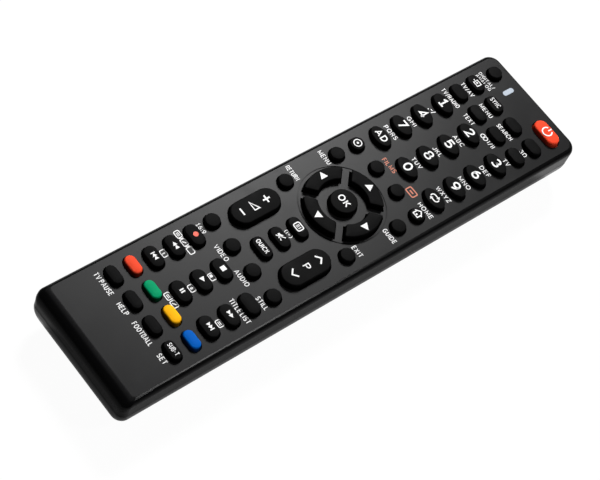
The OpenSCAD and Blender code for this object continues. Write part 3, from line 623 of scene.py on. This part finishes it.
def make_lower_shell():
    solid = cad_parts["lower_case"]
    lo, hi = (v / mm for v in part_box("lower_case"))
    form = finish_mesh(shell_form(lo, hi), "shell_form", shell_plastic)
    bm = bmesh.new()
    bm.from_mesh(solid.data)
    bm.transform(solid.matrix_world)
    bmesh.ops.remove_doubles(bm, verts=bm.verts, dist=weld)
    bmesh.ops.scale(bm, vec=(1 / mm, 1 / mm, 1 / mm), verts=bm.verts)
    piece = finish_mesh(bm, "lower_shell", shell_plastic, shell_sharp)
    # The solid's own normals don't fit the cut mesh
    piece.data.attributes.remove(piece.data.attributes["custom_normal"])
    piece.data = worked(piece, "BOOLEAN", object=form, operation="INTERSECT", solver="EXACT")
    bpy.data.objects.remove(form)
    level = [abs(f.normal.z) > level_z for f in piece.data.polygons]
    piece.data.polygons.foreach_set("use_smooth", [not flat for flat in level])
    piece.data.set_sharp_from_angle(angle=radians(shell_sharp))
    piece.data = worked(piece, "WEIGHTED_NORMAL", keep_sharp=True, weight=normal_weight)
    piece.data.materials.clear()
    piece.data.materials.append(shell_plastic)
    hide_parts("lower_case")
    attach(piece, "case")


make_lower_shell()


# Ends of both shells: a fuller near roll and fuller corners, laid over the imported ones

half_w, half_l, face_z = (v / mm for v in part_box("upper_case")[1])
seam_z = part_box("upper_case")[0].z / mm
skin, core_in, end_sharp = 0.012, 1.0, 20
face_room, upper_seam_room, lower_seam_room = 0.001, 0.05, 0.35
crease_w, crease_drop = 0.6, 0.28
shoulder_r, shoulder_tilt = 2.1, radians(28.6)
shoulder_z = face_z - crease_drop - shoulder_r * cos(shoulder_tilt)
near_roll_r, packed_near_roll_r, far_roll_r = 5.0, 7.0, 0.9
near_corner_r, near_face_corner_r, far_corner_r = 3.0, 1.5, 3.8
near_core_r, far_core_r, shell_core_r = 3.0, 5.0, 3.0
near_reach, far_reach, shell_reach = 12.0, 9.0, 13.0


def roll_inset(z, r):
    # How far a roll of radius r draws the wall in at a height
    up = z - (face_z - r)
    return r - sqrt(max(0.0, r * r - up * up)) if up > 0 else 0.0


def shoulder_inset(z):
    # The same for a side wall, which has a round shoulder below the crease
    rise = z - shoulder_z
    if rise <= 0:
        return 0.0
    if z <= face_z - crease_drop:
        return shoulder_r - sqrt(shoulder_r ** 2 - rise ** 2)
    return shoulder_r * (1 - sin(shoulder_tilt)) + crease_w * (z - face_z + crease_drop) / crease_drop


def wall_line(side_in, end_in, r, reach, both_sides):
    # Line of an end in plan: along one side, round its corner, then on to the other side or a stop
    x, y = half_w - side_in, half_l - end_in
    line = [(x, half_l - reach)] + bow(x - r, y - r, r, r, 0, 90)
    if both_sides:
        return line + [(-a, b) for a, b in reversed(line)]
    return line + [(half_w - reach, y)]


def upper_levels(roll_r, packed_r, corner_low, corner_high):
    # For each height: inset of the side and of the end, corner radius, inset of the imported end
    heights = [seam_z + upper_seam_room, face_z - face_room, face_z - crease_drop]
    heights += [shoulder_z + shoulder_r * sin(radians(a)) for a in range(0, 60, 6)]
    heights += [face_z - roll_r * (1 - sin(radians(a))) for a in range(0, 86, 5)]
    levels = []
    for z in sorted(heights):
        rise = max(0.0, (z - face_z) / near_roll_r + 1)
        corner = corner_low + (corner_high - corner_low) * rise
        levels.append((z, shoulder_inset(z), roll_inset(z, roll_r), corner, roll_inset(z, packed_r)))
    return levels


def lower_levels(end_r, corner_high):
    # The same for the lower shell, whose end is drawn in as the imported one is
    heights = [belly_r * (1 - sin(radians(a))) for a in range(75, -1, -5)] + [seam_z - lower_seam_room]
    levels = []
    for z in heights:
        corner = shell_corner_r + (corner_high - shell_corner_r) * min(1.0, z / belly_r)
        end_in = belly_inset(z, end_r)
        levels.append((z, belly_inset(z, belly_r), end_in, corner, end_in))
    return levels


def make_end(name, across, along, levels, core_corner, reach, both_sides, slot):
    # A thin wall from the shell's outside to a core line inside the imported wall
    rings = []
    for z, side_in, end_in, corner, packed_in in levels:
        outer = wall_line(skin + side_in, skin + end_in, corner, reach, both_sides)
        core = wall_line(core_in + side_in, core_in + packed_in, core_corner, reach, both_sides)
        rings.append([(across * x, along * y, z) for x, y in outer + core[::-1]])
    bm = bmesh.new()
    loft(bm, rings)
    piece = finish_mesh(bm, name, face_plastic if slot == "face_plastic" else shell_plastic, end_sharp)
    piece.data = worked(piece, "WEIGHTED_NORMAL", keep_sharp=True, weight=normal_weight)
    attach(piece, "case")


levels = upper_levels(near_roll_r, packed_near_roll_r, near_corner_r, near_face_corner_r)
make_end("near_end", 1, -1, levels, near_core_r, near_reach, True, "face_plastic")
for name, across in (("left", -1), ("right", 1)):
    levels = upper_levels(far_roll_r, far_roll_r, far_corner_r, far_corner_r)
    make_end("far_corner_" + name, across, 1, levels, far_core_r, far_reach, False, "face_plastic")
    levels = lower_levels(far_belly_r, far_corner_r)
    make_end("shell_far_" + name, across, 1, levels, shell_core_r, shell_reach, False, "shell_plastic")
    levels = lower_levels(belly_r, near_corner_r)
    make_end("shell_near_" + name, across, -1, levels, shell_core_r, shell_reach, False, "shell_plastic")


# Lettering

def whole(x, y, rx, ry, steps=28):
    pts = bow(x, y, rx, ry, 90, 450, steps)
    return pts[:-1] + pts[:1]


# Letter: width, then pen strokes; every letter is one high
lettering = {
    "A": (0.84, [[(0, 0), (0.42, 1), (0.84, 0)], [(0.16, 0.3), (0.68, 0.3)]]),
    "B": (0.62, [[(0, 0), (0, 1)] + bow(0.34, 0.765, 0.24, 0.235, 90, -90) + [(0, 0.53)],
                 [(0, 0.53)] + bow(0.36, 0.265, 0.26, 0.265, 90, -90) + [(0, 0)]]),
    "C": (0.76, [bow(0.42, 0.5, 0.42, 0.5, 42, 318, 18)]),
    "D": (0.72, [[(0, 0), (0, 1)] + bow(0.28, 0.5, 0.44, 0.5, 90, -90, 16) + [(0, 0)]]),
    "E": (0.58, [[(0.58, 1), (0, 1), (0, 0), (0.58, 0)], [(0, 0.52), (0.52, 0.52)]]),
    "F": (0.55, [[(0.55, 1), (0, 1), (0, 0)], [(0, 0.5), (0.48, 0.5)]]),
    "G": (0.80, [bow(0.42, 0.5, 0.42, 0.5, 45, 300, 18) + [(0.80, 0.14), (0.80, 0.46), (0.46, 0.46)]]),
    "H": (0.68, [[(0, 0), (0, 1)], [(0.68, 0), (0.68, 1)], [(0, 0.52), (0.68, 0.52)]]),
    "I": (0.0, [[(0, 0), (0, 1)]]),
    "J": (0.46, [[(0.46, 1), (0.46, 0.28)] + bow(0.23, 0.25, 0.23, 0.25, 0, -170)]),
    "K": (0.68, [[(0, 0), (0, 1)], [(0.64, 1), (0, 0.36)], [(0.2, 0.56), (0.68, 0)]]),
    "L": (0.54, [[(0, 1), (0, 0), (0.54, 0)]]),
    "M": (0.84, [[(0, 0), (0, 1), (0.42, 0.16), (0.84, 1), (0.84, 0)]]),
    "N": (0.68, [[(0, 0), (0, 1), (0.68, 0), (0.68, 1)]]),
    "O": (0.84, [whole(0.42, 0.5, 0.42, 0.5)]),
    "P": (0.60, [[(0, 0), (0, 1)] + bow(0.32, 0.73, 0.28, 0.27, 90, -90) + [(0, 0.46)]]),
    "Q": (0.84, [whole(0.42, 0.5, 0.42, 0.5), [(0.5, 0.26), (0.86, -0.04)]]),
    "R": (0.64, [[(0, 0), (0, 1)] + bow(0.34, 0.74, 0.28, 0.26, 90, -90) + [(0, 0.48)],
                 [(0.34, 0.48), (0.66, 0)]]),
    "S": (0.60, [bow(0.30, 0.745, 0.28, 0.255, 25, 270, 14)
                 + bow(0.30, 0.245, 0.30, 0.245, 90, -155, 14)[1:]]),
    "T": (0.68, [[(0, 1), (0.68, 1)], [(0.34, 1), (0.34, 0)]]),
    "U": (0.66, [[(0, 1), (0, 0.33)] + bow(0.33, 0.33, 0.33, 0.33, 180, 360, 14) + [(0.66, 1)]]),
    "V": (0.78, [[(0, 1), (0.39, 0), (0.78, 1)]]),
    "W": (1.10, [[(0, 1), (0.28, 0), (0.55, 0.94), (0.82, 0), (1.10, 1)]]),
    "X": (0.72, [[(0, 0), (0.72, 1)], [(0, 1), (0.72, 0)]]),
    "Y": (0.74, [[(0, 1), (0.37, 0.48), (0.74, 1)], [(0.37, 0.48), (0.37, 0)]]),
    "Z": (0.66, [[(0, 1), (0.66, 1), (0, 0), (0.66, 0)]]),
    "0": (0.60, [whole(0.30, 0.5, 0.30, 0.5)]),
    "1": (0.50, [[(0, 0.80), (0.27, 1), (0.27, 0)], [(0, 0), (0.54, 0)]]),
    "2": (0.58, [bow(0.28, 0.72, 0.28, 0.28, 165, -25, 12) + [(0, 0), (0.58, 0)]]),
    "3": (0.58, [bow(0.27, 0.75, 0.26, 0.25, 150, -90, 12), bow(0.27, 0.25, 0.30, 0.25, 90, -150, 12)]),
    "4": (0.68, [[(0.50, 0), (0.50, 1), (0, 0.25), (0.68, 0.25)]]),
    "5": (0.58, [[(0.54, 1), (0.08, 1), (0.05, 0.54)] + bow(0.27, 0.31, 0.30, 0.31, 125, -150, 14)]),
    "6": (0.60, [whole(0.30, 0.31, 0.29, 0.31), bow(0.52, 0.40, 0.51, 0.60, 100, 180, 9)]),
    "7": (0.58, [[(0, 1), (0.58, 1), (0.20, 0)]]),
    "8": (0.60, [whole(0.30, 0.77, 0.25, 0.23), whole(0.30, 0.27, 0.30, 0.27)]),
    "9": (0.60, [whole(0.30, 0.69, 0.29, 0.31), bow(0.08, 0.60, 0.51, 0.60, -80, 0, 9)]),
    "/": (0.40, [[(0, -0.06), (0.40, 1.06)]]),
    ":": (0.0, [[(0, 0.06), (0, 0.24)], [(0, 0.56), (0, 0.74)]]),
    "-": (0.34, [[(0, 0.42), (0.34, 0.42)]]),
    "+": (0.50, [[(0, 0.5), (0.50, 0.5)], [(0.25, 0.25), (0.25, 0.75)]]),
    "(": (0.22, [bow(0.5, 0.5, 0.5, 0.62, 118, 242)]),
    ")": (0.22, [bow(-0.28, 0.5, 0.5, 0.62, 62, -62)]),
    "i": (0.0, [[(0, 0), (0, 0.66)], [(0, 0.84), (0, 1)]]),
}


# Printed marks: thin plates of ink that reach a little into what carries them

ink_lift, face_bite, key_bite = 0.02, 0.03, 0.12
ink_weld, ink_sharp = 0.002, 20
letter_gap, space_w, mitre_limit = 0.42, 0.3, 0.5
word_weight = 0.142


class Print:
    def __init__(self, surface, bite):
        self.bm = bmesh.new()
        self.low, self.high = surface - bite, surface + ink_lift

    def plate(self, pts):
        loft(self.bm, [[(p[0], p[1], z) for p in pts] for z in (self.low, self.high)])

    def line(self, pts, width, closed=False):
        pts = [Vector((p[0], p[1])) for p in pts]
        n = len(pts)
        left, right = [], []
        for i, p in enumerate(pts):
            came = p - pts[i - 1] if closed or i > 0 else pts[1] - p
            goes = pts[(i + 1) % n] - p if closed or i < n - 1 else came
            came, goes = came.normalized(), goes.normalized()
            way = (came + goes).normalized()
            out = Vector((-way.y, way.x))
            reach = width / 2 / max(out.dot(Vector((-came.y, came.x))), mitre_limit)
            left.append(p + out * reach)
            right.append(p - out * reach)
        edges = ((left, self.low), (right, self.low), (right, self.high), (left, self.high))
        rows = [[self.bm.verts.new((q.x, q.y, z)) for q in side] for side, z in edges]
        for i in range(n if closed else n - 1):
            j = (i + 1) % n
            for a, b in zip(rows, rows[1:] + rows[:1]):
                self.bm.faces.new((a[i], a[j], b[j], b[i]))
        if not closed:
            self.bm.faces.new([row[0] for row in rows])
            self.bm.faces.new([row[-1] for row in reversed(rows)])

    def shape(self, pts, width):
        # A closed outline: filled, or drawn with a pen of the given width
        if width is None:
            self.plate(pts)
        else:
            self.line(pts, width, closed=True)

    def circle(self, x, y, r, width=None):
        self.shape(bow(x, y, r, r, 0, 360, 40)[:-1], width)

    def arc(self, x, y, r, width, start, end):
        self.line(bow(x, y, r, r, start, end, 40), width)

    def box(self, x, y, w, h, width, r):
        pts = []
        for sx, sy, start in ((1, 1, 0), (-1, 1, 90), (-1, -1, 180), (1, -1, 270)):
            pts += bow(x + sx * (w / 2 - r), y + sy * (h / 2 - r), r, r, start, start + 90, 4)
        self.shape(pts, width)

    def bar(self, x, y, w, h):
        corners = ((-1, -1), (1, -1), (1, 1), (-1, 1))
        self.plate([(x + sx * w / 2, y + sy * h / 2) for sx, sy in corners])

    def triangle(self, x, y, w, h, turn=0):
        # Points along +X before it is turned; w runs along the pointing direction
        c, s = cos(radians(turn)), sin(radians(turn))
        pts = [(-w / 2, -h / 2), (w / 2, 0), (-w / 2, h / 2)]
        self.plate([(x + c * px - s * py, y + s * px + c * py) for px, py in pts])

    def word(self, text, x, y, w, h, weight=word_weight):
        # Plain sans capitals drawn with one pen, fitted to the given width and height
        pen = h * weight
        strokes, at = [], 0.0
        for letter in text:
            if letter == " ":
                at += space_w
                continue
            wide, lines = lettering[letter]
            strokes += [[(at + px, py) for px, py in line] for line in lines]
            at += wide + letter_gap
        fit_x, fit_y = (w - pen) / (at - letter_gap), h - pen
        left, low = x - w / 2 + pen / 2, y - h / 2 + pen / 2
        for line in strokes:
            closed = len(line) > 2 and line[0] == line[-1]
            pts = [(left + px * fit_x, low + py * fit_y) for px, py in line]
            self.line(pts[:-1] if closed else pts, pen, closed)

    def make(self, name, finish, body):
        bmesh.ops.remove_doubles(self.bm, verts=self.bm.verts, dist=ink_weld)
        piece = finish_mesh(self.bm, name, finish, ink_sharp)
        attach(piece, body)


def on_face(x, y):
    return ok_at.x + x, ok_at.y + y


face_ink = Print(face_z, face_bite)

# Words on the face: text, middle from the confirm key, width and height
face_words = [
    ("DIGITAL/", -15.5, 84.8, 8.3, 1.4), ("ANALOG", -15.5, 83.0, 8.2, 1.45),
    ("TV/AV", -15.9, 75.1, 6.8, 1.9), ("MENU", -5.2, 75.05, 6.6, 1.9),
    ("SEARCH", 5.5, 74.95, 7.8, 1.9), ("3D", 16.1, 74.8, 3.2, 1.9),
    ("TV/RADIO", -16.1, 66.55, 9.4, 1.9), ("TEXT", -5.45, 66.5, 5.4, 1.9),
    ("I/II", 7.2, 66.3, 3.0, 1.9), ("TV", 15.95, 66.25, 3.1, 1.9),
    ("ABC", -0.1, 56.4, 5.4, 1.85), ("DEF", 14.95, 56.3, 5.1, 1.85),
    ("GHI", -15.2, 46.2, 4.5, 1.85), ("JKL", -0.3, 46.1, 4.4, 1.85), ("MNO", 14.9, 46.0, 5.9, 1.85),
    ("PQRS", -15.2, 35.95, 6.7, 1.9), ("TUV", -0.3, 35.9, 5.1, 1.85), ("WXYZ", 14.8, 35.7, 7.2, 1.85),
    ("HOME", 16.7, 25.3, 7.3, 1.9), ("MENU", -18.6, 7.1, 6.2, 1.9), ("GUIDE", 18.3, 6.8, 6.4, 1.9),
    ("RETURN", -19.0, -7.3, 6.6, 1.9), ("EXIT", 17.4, -7.4, 4.8, 1.95), ("(i+)", -0.1, -24.2, 3.4, 1.7),
    ("16:9", -16.7, -49.4, 4.3, 1.7), ("VIDEO", -5.6, -49.2, 6.9, 1.9), ("AUDIO", 5.6, -49.1, 7.0, 1.9),
    ("STILL", 16.7, -49.1, 5.5, 1.9), ("TITLE LIST", 15.3, -57.5, 10.4, 2.0),
    ("TV PAUSE", -15.45, -90.5, 9.4, 2.0), ("HELP", -4.8, -90.5, 5.0, 2.0),
    ("FOOTBALL", 5.8, -90.4, 9.7, 1.95), ("SET", 16.4, -90.3, 4.0, 1.95),
]
for text, x, y, w, h in face_words:
    face_ink.word(text, *on_face(x, y), w, h)

icon_w, icon_h, icon_pen, icon_r = 2.75, 2.0, 0.34, 0.5


def page_icon(ink, x, y, filling):
    # A screen, plain or with rows of text, a slash, a picture, arrows or a mark in it
    ink.box(x, y, icon_w, icon_h, icon_pen, icon_r)
    if filling == "slash":
        ink.line([(x - 0.6, y - 0.5), (x + 0.6, y + 0.5)], 0.36)
    if filling == "rows":
        for dy in (0.3, -0.27):
            ink.bar(x, y + dy, 1.5, 0.3)
    if filling == "half":
        ink.bar(x - 0.4, y, 1.05, 1.1)
    if filling == "arrows":
        ink.triangle(x, y + 0.36, 0.55, 1.05, 90)
        ink.triangle(x, y - 0.36, 0.55, 1.05, 270)
    if filling == "mark":
        ink.bar(x, y + 0.18, 0.4, 0.7)
        ink.bar(x, y - 0.5, 0.4, 0.3)


ring_x, ring_y = on_face(2.75, 66.3)
face_ink.circle(ring_x, ring_y, 0.85, icon_pen)
face_ink.circle(ring_x + 1.35, ring_y, 0.85, icon_pen)
dot_x, dot_y = on_face(-15.6, 56.1)
face_ink.bar(dot_x - 0.9, dot_y - 0.5, 0.4, 0.4)
face_ink.bar(dot_x + 0.1, dot_y + 0.3, 0.9, 0.32)
face_ink.line([(dot_x + 0.9, dot_y - 0.7), (dot_x + 1.6, dot_y + 1.2)], icon_pen)
for dx, filling in ((-3.6, "rows"), (0, "slash"), (3.6, "plain")):
    page_icon(face_ink, *on_face(-15.1 + dx, -57.7), filling)
for dx in (-1.8, 1.8):
    bar_x, bar_y = on_face(-15.1 + dx, -57.7)
    face_ink.line([(bar_x - 0.2, bar_y - 0.8), (bar_x + 0.2, bar_y + 0.8)], 0.28)
for x, y, filling in ((0.2, -57.7, "half"), (-15.05, -66.3, "mark"), (0.3, -66.2, "arrows"),
                      (15.5, -66.2, "rows"), (-1.2, -74.8, "rows"), (2.2, -74.8, "slash")):
    page_icon(face_ink, *on_face(x, y), filling)
face_ink.make("face_print", white_ink, "case")

labels = Print(face_z, face_bite)
labels.word("FILMS", *on_face(-4.45, 26.05), 6.8, 2.0, 0.155)
labels.box(*on_face(8.2, 25.9), 4.0, 2.5, 0.46, 0.5)
labels.bar(*on_face(8.2, 25.9), 1.8, 0.55)
labels.make("face_label_print", orange_ink, "case")

# Words on the keys: text, width and height
key_words = {
    "key_description": ("AD", 5.4, 2.75), "key_ok": ("OK", 5.2, 2.75), "key_quick": ("QUICK", 6.0, 1.85),
}
for n in range(10):
    key_words["key_" + str(n)] = (str(n), 2.7 if n == 1 else 3.1, 3.9)
key_weight, eight_weight = 0.17, 0.15
nav_mark_out, nav_mark_w, nav_mark_h = 0.4, 2.7, 3.0


def key_print(node):
    return Print(top_of(node) - print_room, key_bite)


for node, (text, w, h) in key_words.items():
    ink = key_print(node)
    at = key_places(node)[0]
    ink.word(text, at.x, at.y, w, h, eight_weight if text == "8" else key_weight)
    ink.make("print_" + node, white_ink, node)

for node, turn in nav_nodes.items():
    ink = key_print(node)
    at = key_places(node)[0]
    x, y = at.x + nav_mark_out * cos(radians(turn)), at.y + nav_mark_out * sin(radians(turn))
    ink.triangle(x, y, nav_mark_w, nav_mark_h, turn)
    ink.make("print_" + node, white_ink, node)


def power_mark(ink, x, y):
    ink.arc(x, y - 0.1, 1.85, 0.5, 125, 415)
    ink.bar(x, y + 1.35, 0.5, 1.7)


def input_mark(ink, x, y):
    ink.line([(x - 0.7, y + 0.4), (x - 0.7, y + 0.95), (x + 1.6, y + 0.95), (x + 1.6, y - 0.95),
              (x - 0.7, y - 0.95), (x - 0.7, y - 0.4)], 0.32)
    ink.line([(x - 1.7, y), (x + 0.2, y)], 0.3)
    ink.triangle(x + 0.45, y, 0.8, 1.0)


def recall_mark(ink, x, y):
    # Two arrows that chase each other round a loop
    upper = bow(x - 0.75, y, 1.0, 1.0, 215, 90, 10) + [(x + 0.75, y + 1.0)]
    for turn in (1, -1):
        ink.line([(x + turn * (px - x), y + turn * (py - y)) for px, py in upper], 0.44)
        ink.triangle(x + turn * 1.05, y + turn * 1.0, 1.0, 1.5, 0 if turn == 1 else 180)


def disc_mark(ink, x, y):
    ink.circle(x, y, 1.45, 0.36)
    ink.circle(x, y, 0.45)


def house_mark(ink, x, y):
    ink.line([(x - 1.75, y + 0.1), (x, y + 1.6), (x + 1.75, y + 0.1)], 0.42)
    ink.line([(x - 1.15, y + 0.3), (x - 1.15, y - 1.3), (x + 1.15, y - 1.3), (x + 1.15, y + 0.3)], 0.42)
    ink.bar(x, y - 0.75, 0.62, 1.0)


def list_mark(ink, x, y):
    ink.box(x, y, 3.2, 2.5, 0.42, 0.6)
    for dy in (0.5, 0.0, -0.5):
        ink.bar(x - 0.35, y + dy, 1.0, 0.26)
    ink.bar(x + 0.7, y, 0.3, 1.3)


def mute_mark(ink, x, y):
    ink.plate([(x - 1.35, y - 0.42), (x - 0.75, y - 0.42), (x + 0.2, y - 1.15), (x + 0.2, y + 1.15),
               (x - 0.75, y + 0.42), (x - 1.35, y + 0.42)])
    ink.line([(x - 1.3, y - 1.2), (x + 1.4, y + 1.2)], 0.34)
    ink.line([(x + 0.55, y - 0.6), (x + 1.35, y - 0.9)], 0.34)


def volume_mark(ink, x, y):
    ink.bar(x - 0.25, y + 4.75, 3.0, 0.62)
    ink.bar(x - 0.25, y + 5.62, 0.62, 1.12)
    ink.bar(x - 0.25, y + 3.88, 0.62, 1.12)
    ink.line([(x - 2.0, y - 1.55), (x + 1.5, y - 1.55), (x + 1.5, y + 0.55)], 0.42, closed=True)
    ink.bar(x - 0.15, y - 5.9, 2.9, 0.6)


def program_mark(ink, x, y):
    ink.line([(x - 1.75, y + 5.1), (x, y + 6.7), (x + 1.75, y + 5.1)], 0.56)
    ink.line([(x - 1.75, y - 4.6), (x, y - 6.2), (x + 1.75, y - 4.6)], 0.56)
    ink.word("P", x + 0.1, y + 0.2, 2.1, 2.8)


def stop_mark(ink, x, y):
    ink.bar(x + 0.15, y + 0.15, 1.85, 1.85)


def play_mark(ink, x, y):
    ink.triangle(x + 0.15, y + 0.15, 1.85, 1.9)


def pause_mark(ink, x, y):
    ink.bar(x - 0.32, y + 0.2, 0.52, 1.6)
    ink.bar(x + 0.58, y + 0.2, 0.52, 1.6)


def arrows(ink, x, y, places, w, h, turn=0):
    for dx in places:
        ink.triangle(x + dx, y, w, h, turn)


def rewind_mark(ink, x, y):
    arrows(ink, x, y + 0.1, (-0.55, 0.85), 1.5, 1.6, 180)


def forward_mark(ink, x, y):
    arrows(ink, x, y + 0.1, (-0.55, 0.85), 1.5, 1.6)


def previous_mark(ink, x, y):
    ink.bar(x - 1.15, y + 0.15, 0.36, 1.7)
    arrows(ink, x, y + 0.15, (-0.35, 0.85), 1.25, 1.7, 180)


def next_mark(ink, x, y):
    ink.bar(x + 1.5, y + 0.15, 0.36, 1.7)
    arrows(ink, x, y + 0.15, (0.7, -0.5), 1.25, 1.7)


def record_mark(ink, x, y):
    ink.circle(x + 0.1, y + 0.15, 0.95)


def subtitle_mark(ink, x, y):
    ink.word("SUB-T", x, y + 0.1, 4.9, 1.75, 0.13)


def sync_mark(ink, x, y):
    ink.word("SYNC", x - 0.15, y + 0.3, 4.7, 2.0, 0.12)


# Node, which of its caps, mark, ink
key_marks = [
    ("key_power", 0, power_mark, white_ink), ("keys_upper_1_left", 0, input_mark, white_ink),
    ("key_recall", 0, recall_mark, white_ink), ("keys_apps_left", 0, disc_mark, white_ink),
    ("keys_apps_right", 1, house_mark, white_ink), ("key_guide", 0, list_mark, white_ink),
    ("key_mute", 0, mute_mark, white_ink), ("key_volume", 0, volume_mark, white_ink),
    ("key_program", 0, program_mark, white_ink), ("key_record", 0, record_mark, red_ink),
    ("key_stop", 0, stop_mark, white_ink), ("key_rewind", 0, rewind_mark, white_ink),
    ("key_play", 0, play_mark, white_ink), ("key_forward", 0, forward_mark, white_ink),
    ("key_previous", 0, previous_mark, white_ink), ("key_pause", 0, pause_mark, white_ink),
    ("key_next", 0, next_mark, white_ink), ("keys_last_right", 1, subtitle_mark, white_ink),
    ("keys_upper_1_left", 1, sync_mark, white_ink),
]
for node, which, mark, finish in key_marks:
    ink = key_print(node)
    mark(ink, *key_places(node)[which])
    ink.make("print_" + node + ("_b" if which else ""), finish, node)


# Floor, light and camera

floor_half, floor_drop = 3.0, 0.0002


def make_floor():
    corners = [(sx * floor_half, sy * floor_half, 0) for sx, sy in ((-1, -1), (1, -1), (1, 1), (-1, 1))]
    mesh = bpy.data.meshes.new("floor")
    mesh.from_pydata(corners, [], [(0, 1, 2, 3)])
    floor = bpy.data.objects.new("floor", mesh)
    floor.location.z = -floor_drop
    scene.collection.objects.link(floor)
    m = bpy.data.materials.new("floor_white")
    m.use_nodes = True
    t = m.node_tree
    t.nodes.clear()
    rays = t.nodes.new("ShaderNodeLightPath").outputs
    mirrored = math_node(t, "MAXIMUM", rays["Is Glossy Ray"], rays["Is Transmission Ray"])

    def paper(albedo, glow):
        # White paper that keeps a shadow; part of its white is its own glow
        matt = t.nodes.new("ShaderNodeBsdfDiffuse")
        feed(t, matt.inputs["Color"], (albedo, albedo, albedo))
        own = t.nodes.new("ShaderNodeEmission")
        own.inputs["Strength"].default_value = glow
        both = t.nodes.new("ShaderNodeAddShader")
        link(t, matt.outputs[0], both.inputs[0])
        link(t, own.outputs[0], both.inputs[1])
        return both.outputs[0]

    # What lights the remote, what it mirrors, what the camera sees; clear from below
    white = mix_shader(t, mirrored, paper(0.72, 0.35), paper(0.6, 0.2))
    white = mix_shader(t, rays["Is Camera Ray"], white, paper(0.05, 0.965))
    clear = t.nodes.new("ShaderNodeBsdfTransparent").outputs[0]
    from_below = t.nodes.new("ShaderNodeNewGeometry").outputs["Backfacing"]
    out = t.nodes.new("ShaderNodeOutputMaterial")
    link(t, mix_shader(t, from_below, white, clear), out.inputs["Surface"])
    mesh.materials.append(m)


def make_world():
    # A white backdrop for the camera; for the light, a horizon that is brighter than the ceiling
    world = bpy.data.worlds.new("studio")
    scene.world = world
    world.use_nodes = True
    t = world.node_tree
    t.nodes.clear()
    rays = t.nodes.new("ShaderNodeLightPath").outputs
    seen = math_node(t, "MAXIMUM", rays["Is Camera Ray"], rays["Is Transmission Ray"])
    height = axes_of(t, coordinates(t, "Generated"))["Z"]
    room = t.nodes.new("ShaderNodeBackground")
    link(t, ramp(t, height, 0.03, 0.3, 0.3, 0.08), room.inputs["Strength"])
    backdrop = t.nodes.new("ShaderNodeBackground")
    out = t.nodes.new("ShaderNodeOutputWorld")
    link(t, mix_shader(t, seen, room.outputs[0], backdrop.outputs[0]), out.inputs["Surface"])


lamp_aim = (0, 0, 0.02)


def add_lamp(name, spot, size, watts):
    lamp = bpy.data.lights.new(name, "AREA")
    lamp.shape = "RECTANGLE"
    lamp.size, lamp.size_y = size
    lamp.energy = watts
    held = bpy.data.objects.new(name, lamp)
    held.location = spot
    held.rotation_mode = "QUATERNION"
    held.rotation_quaternion = (Vector(lamp_aim) - Vector(spot)).to_track_quat("-Z", "Y")
    scene.collection.objects.link(held)


make_floor()
make_world()
add_lamp("far_softbox", (-0.60, 0.675, 0.98), (0.36, 0.36), watts=22.8)
add_lamp("right_card", (0.63, 0.53, 1.0), (0.16, 0.16), watts=4.2)

# The camera as it was fitted to the photo
camera_at = (0.189283, -0.339396, 0.532504)
camera_way = Vector((-0.29162, 0.51188, -0.80805))
camera_roll = radians(25.91)
lens = bpy.data.cameras.new("camera")
lens.lens, lens.sensor_width = 113.28, 36.0
lens.shift_x, lens.shift_y = -0.00160, 0.00089
lens.clip_start = 0.01
camera = bpy.data.objects.new("camera", lens)
camera.location = camera_at
camera.rotation_mode = "QUATERNION"
camera.rotation_quaternion = camera_way.to_track_quat("-Z", "Y") @ Quaternion((0, 0, 1), camera_roll)
scene.collection.objects.link(camera)
scene.camera = camera

bpy.context.view_layer.update()
